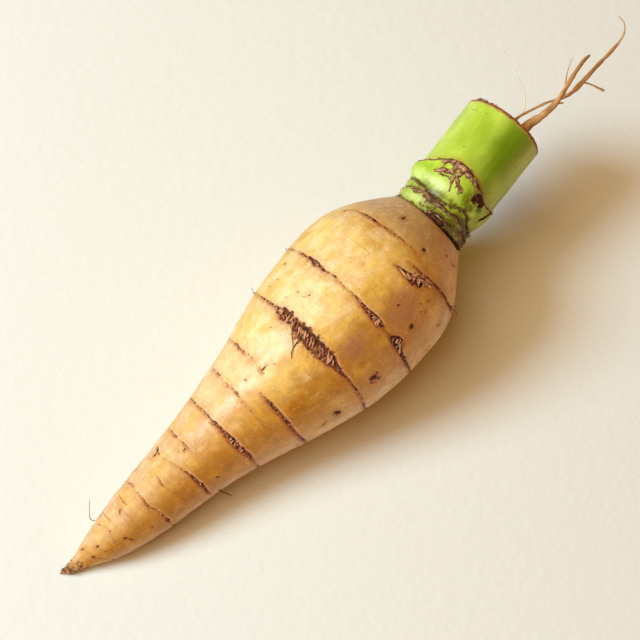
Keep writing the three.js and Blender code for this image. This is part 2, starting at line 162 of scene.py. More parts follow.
# Ring scars. Each is a line round the root, as points of: angle from the left side over the top,
# station, half width, strength. Between its points the scar narrows, widens and fades smoothly.
RING_SCARS = [
    [(70, 12.8, 0.3, 0), (84, 13.2, 0.4, 0.4), (104, 14, 0.3, 0.2), (126, 14.4, 0.4, 0.5),
     (150, 16.2, 0.3, 0.4), (166, 18.6, 0.3, 0)],
    [(10, 22.5, 0.4, 0), (40, 23.5, 0.4, 0.3), (75, 25.2, 0.5, 0.4), (100, 24, 0.5, 0.45),
     (125, 24, 0.4, 0)],
    [(34, 36.8, 0.4, 0), (42, 36.8, 0.5, 0.5), (66, 36.8, 0.5, 0.5), (74, 36.8, 0.4, 0)],
    [(10, 42.8, 0.4, 0), (28, 42.8, 0.5, 0.55), (46, 43.5, 0.6, 0.75), (60, 43, 0.4, 0.4),
     (78, 42.8, 0.6, 0.65), (103, 42.2, 0.8, 0.85), (114, 43, 0.7, 0.7), (135, 43.2, 0.8, 0.8),
     (149, 43.2, 1.1, 1), (165, 43.2, 0.6, 0.4), (205, 43, 0.6, 0.6), (245, 43, 0.4, 0)],
    [(70, 52.8, 0.3, 0), (77, 52.6, 0.4, 0.3), (88, 51.8, 0.6, 0.85), (98, 52, 0.4, 0.4),
     (112, 52.5, 0.4, 0.4), (132, 53, 0.4, 0.35), (150, 53, 0.3, 0)],
    [(28, 60.5, 0.5, 0), (37, 60.4, 0.7, 0.9), (46, 59.5, 0.5, 0.8), (55, 59.3, 0.4, 0.4),
     (64, 59.3, 0.4, 0.4), (81, 60.2, 0.4, 0.4), (98, 61, 0.5, 0.65), (113, 61.5, 0.9, 1),
     (123, 61.5, 1.1, 1), (140, 61.8, 1.1, 1), (157, 61.5, 0.8, 0.9), (172, 61.5, 0.5, 0)],
    [(12, 69, 0.4, 0), (27, 69, 0.4, 0.4), (49, 68.5, 0.6, 0.85), (60, 68.6, 0.4, 0.4),
     (78, 68.7, 0.6, 0.8), (86, 68.5, 0.4, 0.2), (95, 68.5, 0.3, 0)],
    [(8, 83.4, 0.4, 0), (22, 83.2, 0.5, 0.5), (36, 83, 0.6, 0.8), (44, 82.8, 0.6, 0.7),
     (54, 82.8, 0.6, 0.75), (65, 82.5, 0.6, 0.7), (76, 82.2, 0.8, 0.9), (92, 82.2, 1.3, 1),
     (112, 82, 1.8, 1), (124, 81.8, 1.6, 1), (138, 82.4, 1.5, 1), (150, 82.4, 1, 0.9),
     (162, 82.2, 0.6, 0.6), (185, 82, 1.2, 0.9), (205, 82.3, 1, 0.7), (225, 82.5, 0.5, 0)],
    [(18, 97.4, 0.4, 0), (30, 97.5, 0.5, 0.7), (37, 97.2, 0.4, 0.5), (44, 97, 0.7, 0.9),
     (52, 96.6, 0.4, 0.35), (64, 96.2, 0.4, 0.6), (71, 96.5, 0.5, 0.7), (80, 96, 0.4, 0.45),
     (93, 95.2, 0.4, 0.45), (105, 95, 0.3, 0.3), (116, 95, 0.4, 0.5), (124, 95, 0.3, 0)],
    [(88, 102.5, 0.5, 0), (97, 102.2, 0.9, 0.7), (106, 102, 1.3, 0.95), (115, 101.8, 1.4, 1),
     (131, 101.5, 1.2, 0.95), (144, 101, 1.1, 0.95), (156, 101.3, 0.9, 0.9),
     (170, 101.8, 0.8, 0.8), (184, 102.2, 0.7, 0.7), (215, 102, 1, 0.8), (248, 101.5, 0.5, 0)],
    [(12, 110.3, 0.4, 0), (22, 110.2, 0.4, 0.4), (42, 110.2, 0.7, 0.9), (47, 109.8, 0.6, 0.9),
     (54, 109.8, 0.6, 0.7), (68, 109.8, 0.4, 0.35), (76, 109, 0.4, 0.3), (79, 108.5, 0.5, 0.6),
     (84, 108.5, 0.3, 0)],
    [(6, 130.5, 0.5, 0), (18, 130.5, 0.6, 0.6), (28, 130.3, 0.6, 0.75), (36, 130.2, 0.7, 0.85),
     (44, 130, 0.8, 0.8), (51, 130, 0.9, 0.7), (57, 130.2, 1.6, 0.9), (64, 130.1, 2.4, 1),
     (72, 130, 2.2, 0.6), (82, 129.6, 2.4, 0.9), (88, 129.3, 2.6, 1), (95, 129.1, 2.7, 1),
     (104, 129.2, 2.5, 1), (113, 129.2, 2.1, 1), (122, 128.8, 1.4, 0.95), (130, 129, 1, 0.9),
     (144, 128.5, 0.7, 0.8), (156, 128.2, 0.7, 0.7), (169, 127.5, 0.8, 0.8),
     (185, 128, 0.9, 0.8), (205, 128.8, 1.6, 0.95), (228, 129.4, 1.2, 0.8), (252, 130, 0.6, 0)],
    [(-4, 152.3, 0.4, 0), (12, 152.3, 0.5, 0.5), (22, 152.5, 0.6, 0.6), (32, 152.7, 0.5, 0.6),
     (42, 152.8, 0.7, 0.75), (50, 152.8, 1.1, 1), (58, 152.8, 1.6, 1), (64, 152.6, 1.4, 1),
     (67, 152.5, 0.9, 0.8), (76, 153.2, 0.7, 0.6), (86, 153, 0.6, 0.5), (94, 152.8, 0.8, 0.8),
     (101, 152.3, 1.2, 1), (110, 152.2, 1.8, 1), (117, 152, 1.9, 1), (121, 152.2, 1.3, 0.8),
     (127, 151.5, 0.9, 0.6), (133, 152.2, 2.1, 1), (140, 152.3, 2.3, 1), (144, 151, 1.6, 1),
     (154, 150.5, 1.2, 1), (163, 150.3, 1.1, 0.9), (180, 150.8, 0.9, 0.8), (205, 152, 1.3, 0.85),
     (230, 152.6, 1, 0.8), (255, 152.3, 0.6, 0.4), (268, 152, 0.4, 0)],
    [(28, 176.5, 0.5, 0), (36, 178, 0.5, 0.5), (42, 180.2, 0.5, 0.6), (50, 180.5, 0.6, 0.75),
     (63, 180.8, 0.9, 1), (70, 180.8, 0.8, 0.8), (80, 181.5, 0.6, 0.65), (90, 181.8, 0.5, 0.5),
     (102, 182, 0.5, 0.4), (109, 181.6, 0.4, 0.35), (116, 181.6, 0.3, 0)],
    [(98, 177, 0.4, 0), (106, 177.2, 0.6, 0.6), (118, 177.8, 0.9, 0.85), (132, 178.8, 0.8, 0.85),
     (144, 179, 0.9, 1), (156, 178.6, 1, 1), (164, 178.9, 0.9, 0.9), (172, 179.2, 0.7, 0.6),
     (190, 179.5, 0.9, 0.7), (215, 180, 0.5, 0)],
    [(96, 171.5, 0.5, 0), (102, 172.6, 1, 1), (108, 172.9, 1.7, 1), (115, 173.7, 2.1, 1),
     (121, 175, 2, 1), (127, 177, 1.3, 0.9), (133, 178.6, 0.5, 0)],
    # the side that faces away and the underside
    [(195, 31, 0.4, 0), (220, 31.5, 0.6, 0.7), (260, 31, 0.6, 0.6), (300, 30.5, 0.5, 0)],
    [(185, 52, 0.4, 0), (210, 52.3, 0.6, 0.8), (250, 52, 0.7, 0.7), (290, 51.5, 0.6, 0.8),
     (330, 51.2, 0.4, 0)],
    [(200, 69.5, 0.4, 0), (225, 69, 0.8, 0.9), (260, 68.6, 0.8, 0.8), (300, 69, 0.5, 0)],
    [(215, 94, 0.4, 0), (240, 94.3, 0.7, 0.8), (280, 94.8, 1, 0.9), (320, 95.6, 0.7, 0.8),
     (345, 96, 0.4, 0)],
    [(262, 113, 0.4, 0), (285, 113.6, 1.2, 0.9), (310, 113.2, 1, 0.9), (345, 112.5, 0.5, 0)],
    [(270, 139, 0.4, 0), (300, 139.5, 1.1, 0.9), (325, 139, 1.3, 1), (350, 138.5, 0.5, 0)],
    [(280, 163, 0.4, 0), (310, 163.6, 0.9, 0.9), (335, 163.2, 1.1, 0.9), (356, 162.5, 0.4, 0)],
    [(225, 183, 0.4, 0), (250, 183.5, 0.8, 0.9), (285, 183, 0.9, 0.8), (320, 182.5, 0.7, 0.8),
     (345, 182, 0.4, 0)],
]

# Small dark marks, each a rounded streak from one place to another on the skin:
# station, angle, station, angle, width, darkness.
SKIN_MARKS = [
    (12, 47, 12.7, 62, 0.8, 1), (13, 110, 13.4, 116, 1.7, 0.9), (17.2, 91, 17.5, 93, 1.4, 0.9),
    (7.4, 4, 8.4, 12, 1, 0.7), (18, 118, 18.6, 121, 1, 0.6), (32.2, 73, 33.7, 66, 0.7, 0.9),
    (26.6, 117, 27.6, 122, 1.5, 0.9), (27.6, 124, 28.7, 137, 1, 0.9), (37, 135, 37.4, 137, 1, 0.7),
    (48.3, 25, 48.8, 27, 0.9, 0.5), (57, 43, 58.6, 44, 1, 1), (58.6, 44, 60.4, 37, 0.7, 1),
    (66.4, 78, 67.8, 77, 1.2, 0.9), (68, 139, 68.5, 141, 1.1, 0.9),
    (101.8, 73, 102.2, 75, 1.1, 0.6), (108.2, 80, 111.2, 79, 0.9, 0.9),
    (113.6, 83, 114.1, 85, 0.8, 0.5), (122.8, 61, 123.2, 63, 0.9, 0.4),
    (109.8, 160, 112.5, 156, 0.8, 0.6), (136, 144, 137.2, 145.5, 3.6, 1),
    (138.6, 143, 139.2, 142.6, 1.6, 0.8), (134.6, 147, 135.2, 148, 1.4, 0.7),
    (138, 147.5, 138.6, 148.5, 1.8, 0.9), (151.6, 135.5, 152.8, 140.5, 3.2, 1),
    (150.2, 146, 151, 147.5, 2.4, 1), (117, 151.5, 118.2, 156, 3.4, 1),
    (152.2, 137, 152.8, 140, 2.2, 0.9), (134.8, 33, 135.2, 35, 0.9, 0.4),
    (138.8, 37, 139.2, 39, 0.9, 0.35), (135.3, 56, 135.7, 58, 0.9, 0.4),
    (139.6, 61, 140, 63, 1.1, 0.5), (139.7, 67, 140, 69, 0.8, 0.4), (141.3, 69, 141.8, 71, 1, 0.6),
    (145.6, 31, 146, 33, 1.1, 0.7), (176.8, 35, 177.2, 37, 1.1, 0.8),
    (161.6, 118, 162.6, 119, 1.3, 0.9), (166.4, 117.5, 166.8, 118.5, 0.8, 0.5),
    (161.5, 138, 161.2, 134, 0.8, 0.8), (162, 168, 162.5, 169, 0.9, 0.5),
    (166.8, 133.5, 167.2, 134.5, 1.1, 0.8), (168, 138, 169, 137, 0.8, 0.7),
    (169, 129.5, 169.4, 130.5, 0.9, 0.6), (172, 133, 172.9, 134.5, 0.8, 0.6),
    (169.4, 157, 170.2, 158.5, 1.2, 0.9), (191.6, 133, 192, 136, 1.2, 0.8),
    (191.4, 146, 192.2, 158, 1.2, 0.7), (192.6, 163, 193, 165, 1, 0.6),
    (187.3, 173, 187.8, 175, 1.2, 0.6), (160.2, 168, 160.4, 172, 1, 0.5),
    (146, 170, 146.2, 173, 0.9, 0.5),
]

# Open pits: station, angle, radius, depth.
SKIN_PITS = [
    (118.2, 154, 1.5, 0.8), (189.8, 75, 1.1, 0.5), (185.5, 108, 1, 0.5), (152.4, 138, 1.6, 0.5),
    (173.2, 113, 1.3, 0.6), (173.9, 121, 1.2, 0.6), (82, 111, 1.3, 0.4), (160.6, 137, 1.1, 0.5),
    (137, 145, 1.5, 0.4), (180.8, 64, 0.9, 0.4), (126, 300, 1.4, 0.6), (172, 250, 1.6, 0.6),
    (100, 310, 1.1, 0.5), (150, 322, 1.3, 0.5),
]

# Burnt knobs near the tip: station, angle, radius.
TIP_KNOBS = [
    (2.2, 165, 1.5), (3.4, 95, 1.2), (5.4, 140, 1.3), (7.2, 118, 1.2), (8.8, 145, 1.2),
    (6, 190, 1), (6.4, 40, 0.8), (7, 320, 1.4),
]

# Mauve-brown bruises: station, angle, length along, degrees round, strength.
BRUISES = [
    (139, 116, 9, 12, 0.8), (163, 122, 12, 13, 0.9), (128, 300, 12, 20, 0.6),
    (88, 150, 7, 20, 0.4), (170, 260, 14, 18, 0.6), (60, 300, 10, 30, 0.4),
]


def rgb(red, green, blue):
    """A screen colour of 0 to 255 as linear light: each channel to the power 2.2."""
    return tuple((channel / 255) ** 2.2 for channel in (red, green, blue))


# ---- Settings ----


def amount(name, description, default, high, low=0, kind=FloatProperty, **more):
    """A number with a range."""
    return kind(name=name, description=description, default=default, min=low, max=high, **more)


def angle_of(name, description, degrees):
    return FloatProperty(
        name=name, description=description, default=math.radians(degrees), subtype="ANGLE"
    )


def colour_of(name, description, colour):
    return FloatVectorProperty(
        name=name, description=description, default=colour, subtype="COLOR", size=3, min=0, max=1
    )


class RootSettings(bpy.types.PropertyGroup):
    """Sizes and colours of the root's skin."""

    lump_height: amount("Lump height", "Swell of the broad lumps under the skin, in mm", 0.3, 1.5)
    scar_depth: amount("Scar depth", "Depth of the strongest ring scars, in mm", 0.6, 2)
    fibre_spacing: amount(
        "Fibre spacing", "Distance between fibres along a ring scar, in mm", 0.38, 5, 0.2
    )
    stray_marks: amount(
        "Stray marks", "Small marks scattered over the right side and the underside", 90, 400,
        kind=IntProperty,
    )
    gold: colour_of("Gold", "Main colour of the skin", rgb(232, 190, 102))
    ochre: colour_of("Ochre", "Darker patches of the skin", rgb(212, 160, 74))
    # Blush is also the colour of the painted highlight on the upper left.
    blush: colour_of("Blush", "Creamy pink patches of the skin", rgb(242, 210, 160))
    shoulder: colour_of("Shoulder", "Dull skin near the crown", rgb(190, 150, 102))
    scar: colour_of("Scar", "Corky bottom of the ring scars", rgb(88, 40, 18))
    bark: colour_of("Bark", "Torn pinkish-brown fibres in the scars", rgb(204, 144, 104))


class StalkSettings(bpy.types.PropertyGroup):
    """Sizes and colours of the stalk, its collars and the dried strands."""

    rib_height: amount("Rib height", "Height of the fine ribs along the stalk, in mm", 0.05, 0.5)
    edge_tear: amount("Edge tear", "How far the collars' edges are torn, in mm", 0.6, 2)
    green: colour_of("Green", "Main colour of the stalk", rgb(188, 212, 76))
    deep_green: colour_of("Deep green", "Darker clouds on the stalk", rgb(154, 182, 42))
    flesh: colour_of("Flesh", "Cut face of the stalk", rgb(206, 208, 140))
    dried: colour_of("Dried edge", "Dried brown edges", rgb(112, 66, 34))
    straw: colour_of("Straw", "Dried strands", rgb(226, 180, 124))
    pale: colour_of("Pale hair", "Pale hair at the cut face", rgb(246, 236, 208))


class StageSettings(bpy.types.PropertyGroup):
    """Camera, floor and light. Headings are counted from +X, and heights from the surface."""

    lens: amount("Lens", "Focal length on a 36 mm sensor, in mm", 90, 300, 20)
    distance: amount(
        "Camera distance", "From the camera to the point it looks at", 0.636, 5, 0.1,
        unit="LENGTH",
    )
    target: FloatVectorProperty(
        name="Target", description="Point that the camera looks at", subtype="XYZ",
        default=(0.00077, 0.00484, 0.032),
    )
    lean_along: angle_of("Lean along", "Lean of the view from straight down, to the stalk", 18)
    lean_across: angle_of("Lean across", "Lean of the view from straight down, to the left", 8)
    roll: angle_of("Roll", "Turn of the view about its line of sight", 44.69)
    key_heading: angle_of("Key heading", "Side that the key and the soft light come from", 139)
    key_height: angle_of("Key height", "Height of the key light", 38.5)
    key_power: amount("Key power", "Power of the key light, in watts", 42, 500)
    soft_height: angle_of("Soft light height", "Height of the broad warm light", 62)
    soft_power: amount("Soft light power", "Power of the broad warm light, in watts", 24.5, 500)
    low_heading: angle_of("Low light heading", "Side that the low light comes from", -85)
    low_height: angle_of("Low light height", "Height of the low light", 6)
    low_power: amount("Low light power", "Power of the low light, in watts", 4.5, 100)
    fill_power: amount("Fill strength", "Strength of the light from all round", 0.22, 5)
    fill: colour_of("Fill", "Warm light from all round", (1.0, 0.345, 0.01))
    floor: colour_of("Floor", "Plain pale surface", (0.8, 0.815, 0.83))


# ---- Curves and random fields ----


def smooth(table, key, column=1):
    """A smooth curve through a table's points, whose first column is the key: cubic pieces whose
    slope at each point is the slope between its two neighbours, held level past both ends."""
    points = np.array(table, float)
    keys, values = points[:, 0], points[:, column]
    places = np.arange(len(keys))
    before, after = np.maximum(places - 1, 0), np.minimum(places + 1, len(keys) - 1)
    slopes = (values[after] - values[before]) / (keys[after] - keys[before])
    i = np.clip(np.searchsorted(keys, key, side="left") - 1, 0, len(keys) - 2)
    width = keys[i + 1] - keys[i]
    t = np.clip((key - keys[i]) / width, 0, 1)
    rest = 1 - t
    return (
        (1 + 2 * t) * rest**2 * values[i]
        + t * rest**2 * width * slopes[i]
        + t**2 * (3 - 2 * t) * values[i + 1]
        - t**2 * rest * width * slopes[i + 1]
    )


def eased(value, low, high):
    """0 below low, 1 above high, and an S-shaped step between them."""
    t = np.clip((value - low) / (high - low), 0, 1)
    return t * t * (3 - 2 * t)


def bell(value):
    """A bell curve: 1 at 0, and e to the minus square elsewhere."""
    return np.exp(-(value**2))


def corner_value(cells, seed):
    """A fixed number of -1 to 1 for each whole-number cell, by mixing its three numbers."""
    mixed = (cells * np.array([73856093, 19349663, 83492791])).sum(-1) + seed * 265443576
    mixed = (mixed ^ (mixed >> 13)) & 0xFFFFFF
    mixed = (mixed * 1274126177) & 0xFFFFFFFF
    mixed = (mixed ^ (mixed >> 15)) & 0xFFFF
    return mixed / 32767.5 - 1


def field(points, cell, seed, octaves=1):
    """A smooth random field of about -1 to 1 over space: the values at the corners of a lattice
    of cubes, eased between them. Each further octave adds half the height at half the size."""
    total = 0
    for octave in range(octaves):
        at = np.asarray(points) * (2**octave / cell)
        low = np.floor(at).astype(np.int64)
        t = at - low
        t = t * t * (3 - 2 * t)
        for corner in range(8):
            step = np.array([corner & 1, corner >> 1 & 1, corner >> 2 & 1])
            weight = np.prod(np.where(step, t, 1 - t), axis=-1)
            total = total + weight * corner_value(low + step, seed + octave) / 2**octave
    return total


def unit(vectors):
    return vectors / np.linalg.norm(vectors, axis=-1, keepdims=True)


def segment_distance(x, y, dx, dy):
    """Distance of places from a straight line that runs from the origin to (dx, dy)."""
    t = np.clip((x * dx + y * dy) / max(dx * dx + dy * dy, 1e-6), 0, 1)
    return np.hypot(x - t * dx, y - t * dy)


def turned_from(angle, start):
    """An angle in degrees counted from a start, between -180 and 180."""
    return np.mod(angle - start + 180, 360) - 180


# ---- The root's surface ----


def centre_height(station):
    droop = TIP_DROOP * np.exp(-((station / TIP_DROOP_LENGTH) ** 2))
    return TIP_HEIGHT + station * math.sin(ROOT_PITCH) - droop


def root_point(station, angle, radius):
    """A point at a radius about the bent centre line. The angle, in degrees, runs from the left
    side (+Y) over the top. The lower half of each section is an ellipse, no deeper than the
    surface that the root rests on."""
    turn = np.radians(angle)
    height = centre_height(station)
    lowest = np.minimum(radius, (height + PRESSED_DEPTH) / math.cos(ROOT_PITCH))
    up = np.sin(turn) * np.where(np.sin(turn) < 0, lowest, radius)
    x = (station - REST_STATION) * math.cos(ROOT_PITCH) - up * math.sin(ROOT_PITCH)
    y = smooth(ROOT_OUTLINE, np.clip(station, 0, ROOT_LENGTH), 2) + np.cos(turn) * radius
    z = np.maximum(height + up * math.cos(ROOT_PITCH), 0)
    return np.stack([x, y, z], -1)


def straight_point(station, angle, radius):
    """The same place as if the root or stalk were straight: along, left and up."""
    turn = np.radians(angle)
    return np.stack([station + 0 * turn, np.cos(turn) * radius, np.sin(turn) * radius], -1)


def pinched(half_width):
    """A scar's half width as it is made: narrow scars are pinched to about half their width."""
    return half_width * (0.55 + 0.4 * eased(half_width, 1.4, 2.4))


def scar_shape(scar, station, angle, straight):
    """Where each place lies about one ring scar: its distance from the scar's line in
    millimetres, positive towards the stalk, the scar's half width and its strength there. The
    line wanders by two random fields."""
    first, last = scar[0][0], scar[-1][0]
    turned = first + np.mod(angle - first, 360)
    inside = turned <= last
    turned = np.minimum(turned, last)
    line, stated, strength = (smooth(scar, turned, column) for column in (1, 2, 3))
    line = line + 0.13 * field(straight, 1.1, 11) + 0.22 * field(straight, 5, 12)
    strength = np.where(inside, np.clip(strength, 0, 1), 0)
    return station - line, np.maximum(pinched(stated), 0.25), strength


def skin(station, angle, settings):
    """How the skin rises and falls, and the marks on it, at places of the root.

    The rise is the sum of broad lumps, fine wrinkles, a groove at each ring scar that is deepest
    on its stalk side, low lips beside it, a bowl at each pit, and knobs on the burnt tip. The
    marks are fields of 0 to 1: scar is the torn groove, seam the dark line at its stalk side, lip
    the pale edge beyond that, stain the brown skin beside it, halo the golden skin further out,
    crust the burnt tip, bruise the mauve patches and pit the dark pits. The creamy mark on the
    upper left is partly creamy skin and partly a painted highlight that follows the lit side. Low
    on the right it is a painted reflection of the floor. Tan is a painted shade: darker
    golden-brown on the upper right side, which turns from the light."""
    radius = smooth(ROOT_OUTLINE, np.clip(station, 0, ROOT_LENGTH), 1)
    straight = straight_point(station, angle, radius)
    above = eased(np.sin(np.radians(angle)), -1.0, -0.75)
    size = radius / THICKEST
    rise = settings.lump_height * size * field(straight, 26, 1, 2) * above
    rise = rise + 0.09 * np.sqrt(size) * field(straight * (0.45, 1, 1), 2.6, 2, 2) * above
    wrinkled = 0.05 + 0.12 * (1 - eased(station, 15, 70))
    rise = rise + wrinkled * field(straight * (1, 0.12, 0.12), 1.5, 3, 2) * above
    names = ("scar", "seam", "lip", "stain", "halo", "bruise", "pit", "cream_and_painted_light", "tan")
    marks = {name: np.zeros_like(radius) for name in names}

    def mark(name, value, near=slice(None)):
        marks[name][near] = np.maximum(marks[name][near], value)

    def away_from(at, turn):
        return np.hypot(station - at, np.radians(turned_from(angle, turn)) * radius)

    thick_end = eased(station, 130, 180)
    # The creamy mark follows the lit side as a painted highlight over real creamy patches. Low on
    # the right it is a painted reflection of the floor. Tan is a painted shade on the upper right
    # side, which turns from the light.
    lit = 38 + 12 * eased(station, 55, 95) + 10 * eased(station, 90, 140)
    mark("cream_and_painted_light", bell(turned_from(angle, lit) / 34) * (1 - 0.4 * thick_end))
    mark("cream_and_painted_light", 0.9 * bell(turned_from(angle, 176) / 17))
    mark("tan", bell(turned_from(angle, 126) / 22) * (1 - 0.5 * thick_end))
    for number, scar in enumerate(RING_SCARS):
        stations = [point[1] for point in scar]
        near = (station > min(stations) - 11) & (station < max(stations) + 11)
        if not near.any():
            continue
        place = straight[near]
        away, half, strength = scar_shape(scar, station[near], angle[near], place)
        share = away / half
        patchy = np.clip(0.8 + 0.4 * field(place, 1.3, 20 + number, 2), 0.3, 1.15)
        groove = strength * bell((share - 0.3) / 0.9) * patchy
        lips = bell((away - half - 0.9) / 0.8) + 0.7 * bell((away + half + 0.9) / 0.8)
        lips = 0.12 * strength * lips * (1 + 0.8 * field(place, 1.4, 45))
        rise[near] += settings.scar_depth * np.clip(half, 0.4, 1.4) * (lips - groove) * above[near]
        mark("scar", strength * (1.1 + 0.4 * eased(half, 1, 2)) * bell(share / 1.35), near)
        mark("seam", strength * bell((share - 0.75) / 0.45), near)
        mark("lip", strength * bell((away - half - 0.45) / 0.45), near)
        reach = half + 0.5 + 0.6 * eased(station[near], 50, 90)
        dark = np.sqrt(strength) * np.clip(0.8 + 0.3 * half, 0, 1.25)
        mark("stain", dark * bell((away + 0.4) / reach), near)
        mark("halo", dark * bell((away + 1.2) / (3.2 + half)), near)
    for at, turn, to, to_turn, wide, dark in SKIN_MARKS:
        near = np.abs(station - (at + to) / 2) < 6
        if not near.any():
            continue
        x, y = station[near] - at, np.radians(turned_from(angle[near], turn)) * radius[near]
        far = segment_distance(x, y, to - at, np.radians(to_turn - turn) * radius[near].mean())
        mark("stain", 0.8 * dark * bell(far / (0.5 * wide + 0.55)), near)
        mark("halo", dark * bell(far / (wide + 1.2)), near)
    for at, turn, wide, deep in SKIN_PITS:
        away = away_from(at, turn) / wide * (1 + 0.25 * field(straight, 1.2, 40))
        rise = rise - deep * bell(away) * above + 0.15 * deep * bell((away - 1.6) / 0.5) * above
        mark("pit", bell(away / 1.1))
        mark("stain", 0.9 * bell(away / 1.9))
    for at, turn, length, degrees, strength in BRUISES:
        spot = np.hypot((station - at) / length, turned_from(angle, turn) / degrees)
        mark("bruise", strength * bell(spot))
    ragged = field(straight, 1.8, 50, 3)
    browned = 2.5 * bell(turned_from(angle, 140) / 60)
    burnt = 1 - eased(station + 2.2 * ragged - browned, 3.5, 7.5)
    for at, turn, wide in TIP_KNOBS:
        knob = bell(away_from(at, turn) / wide)
        burnt = np.maximum(burnt, eased(knob + 0.35 * ragged, 0.25, 0.95))
        rise = rise + 0.85 * knob
    marks["crust"] = burnt
    rise = rise - 0.5 * bell((station - 6.5) / 3) + 0.5 * burnt * field(straight, 1.3, 51, 2)
    return rise * eased(ROOT_LENGTH - station, 0.0, 4.0), marks, radius


def skin_point(station, angle, above, settings):
    """A place at a height above the finished skin."""
    rise, _, radius = skin(np.asarray(station, float), np.asarray(angle, float), settings)
    return root_point(station, angle, radius + rise + above)


# ---- The stalk's frame ----


def stalk_axes():
    """Left, up and along the stalk, and the point of its axis at the crown."""
    level = math.cos(STALK_PITCH)
    along = np.array([
        level * math.cos(STALK_TURN), level * math.sin(STALK_TURN), math.sin(STALK_PITCH)
    ])
    left = unit(np.cross((0, 0, 1), along))
    x = (ROOT_LENGTH - REST_STATION) * math.cos(ROOT_PITCH)
    base = np.array([x, STALK_SHIFT, centre_height(ROOT_LENGTH) + STALK_LIFT])
    return left, np.cross(along, left), along, base


def stalk_point(distance, angle, radius):
    """A point at a distance along the stalk, an angle in degrees from its left side over its
    top, and a radius about its axis."""
    left, up, along, base = stalk_axes()
    turn = np.radians(angle)[..., None]
    spread = np.asarray(radius)[..., None] * (np.cos(turn) * left + np.sin(turn) * up)
    return base + np.asarray(distance)[..., None] * along + spread


# ---- Meshes ----


def ring_quads(rows, columns, order=(0, 1, 2, 3), closed=False):
    """Faces between rows of points that close round on themselves, and between the last row and
    the first where closed. Order picks which way round each face's corners go."""
    row, column = np.divmod(np.arange((rows if closed else rows - 1) * columns), columns)
    here, there = row * columns, (row + 1) % rows * columns
    right = (column + 1) % columns
    return np.stack([here + column, here + right, there + right, there + column], -1)[:, order]


def fan(pole, first, columns, reverse=False):
    """Triangles from a pole to a row of points that closes round, whose first point is given."""
    here = first + np.arange(columns)
    pair = (np.roll(here, -1), here) if reverse else (here, np.roll(here, -1))
    return np.stack([np.full(columns, pole), *pair], -1)


def ring_grid(points, ends=True):
    """Faces for rows of points that close round on themselves. With ends, the first and last
    rows close on a pole each: their middles, added after the grid. Without, the rows close on
    each other. Gives all points, the faces, and each face corner's place in an unrolled map."""
    rows, columns = points.shape[:2]
    span = rows - 1 if ends else rows
    faces = ring_quads(rows, columns, closed=not ends).tolist()
    row, column = np.divmod(np.arange(span * columns), columns)
    u = np.stack([column, column + 1, column + 1, column], -1) / columns
    v = np.stack([row, row, row + 1, row + 1], -1) / span
    unrolled = np.stack([u, v], -1).reshape(-1, 2)
    flat = points.reshape(-1, 3)
    if not ends:
        return flat, faces, unrolled
    pole = rows * columns
    faces += fan(pole, 0, columns, reverse=True).tolist()
    faces += fan(pole + 1, pole - columns, columns).tolist()
    here = np.arange(columns)
    u = np.stack([[here + 0.5, here + 1, here], [here + 0.5, here, here + 1]]) / columns
    v = np.repeat([0.0, 1.0], columns * 3)
    ends_map = np.stack([u.transpose(0, 2, 1).reshape(-1), v], -1)
    return with_poles(points), faces, np.vstack([unrolled, ends_map])


def with_poles(grid):
    """A value per grid point, with the two poles' values: the means of the first and last row."""
    flat = grid.reshape(-1, *grid.shape[2:])
    return np.concatenate([flat, grid[0].mean(0)[None], grid[-1].mean(0)[None]])


def make_piece(name, points, faces, material, values, node=None, unrolled=None):
    """A mesh object from points in millimetres, with its values per point and its unrolled map.
    It rides on the root, and stands for a node where one is named."""
    mesh = bpy.data.meshes.new(name)
    points = np.array(points) * MM
    points[:, 2] = np.maximum(points[:, 2], 0)
    mesh.from_pydata(points.tolist(), [], faces)
    mesh.polygons.foreach_set("use_smooth", np.ones(len(mesh.polygons), bool))
    for key, value in values.items():
        value = np.asarray(value, np.float32)
        kind, part = ("FLOAT", "value") if value.ndim == 1 else ("FLOAT_VECTOR", "vector")
        mesh.attributes.new(key, kind, "POINT").data.foreach_set(part, value.ravel())
    if unrolled is not None:
        layer = mesh.uv_layers.new(name="OFBake")
        layer.uv.foreach_set("vector", np.asarray(unrolled, np.float32).ravel())
    mesh.update()
    mesh.materials.append(material)
    piece = bpy.data.objects.new(name, mesh)
    bpy.context.scene.collection.objects.link(piece)
    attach(piece, BODY)
    if node:
        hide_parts(node)


def route_through(points, steps):
    """Evenly counted points on a smooth curve through the given ones, keyed by their distance."""
    points = np.asarray(points, float)
    keys = np.concatenate([[0], np.cumsum(np.linalg.norm(np.diff(points, axis=0), axis=1))])
    at = np.linspace(0, keys[-1], steps)
    table = np.column_stack([keys, points])
    return np.stack([smooth(table, at, column) for column in (1, 2, 3)], -1)


def directions_across(paths, normals):
    """Sideways and upward directions along paths, at right angles to them. The sideways one is
    at right angles to the normal too."""
    tangents = unit(np.gradient(paths, axis=-2))
    side = unit(np.cross(tangents, normals))
    return side, np.cross(side, tangents)


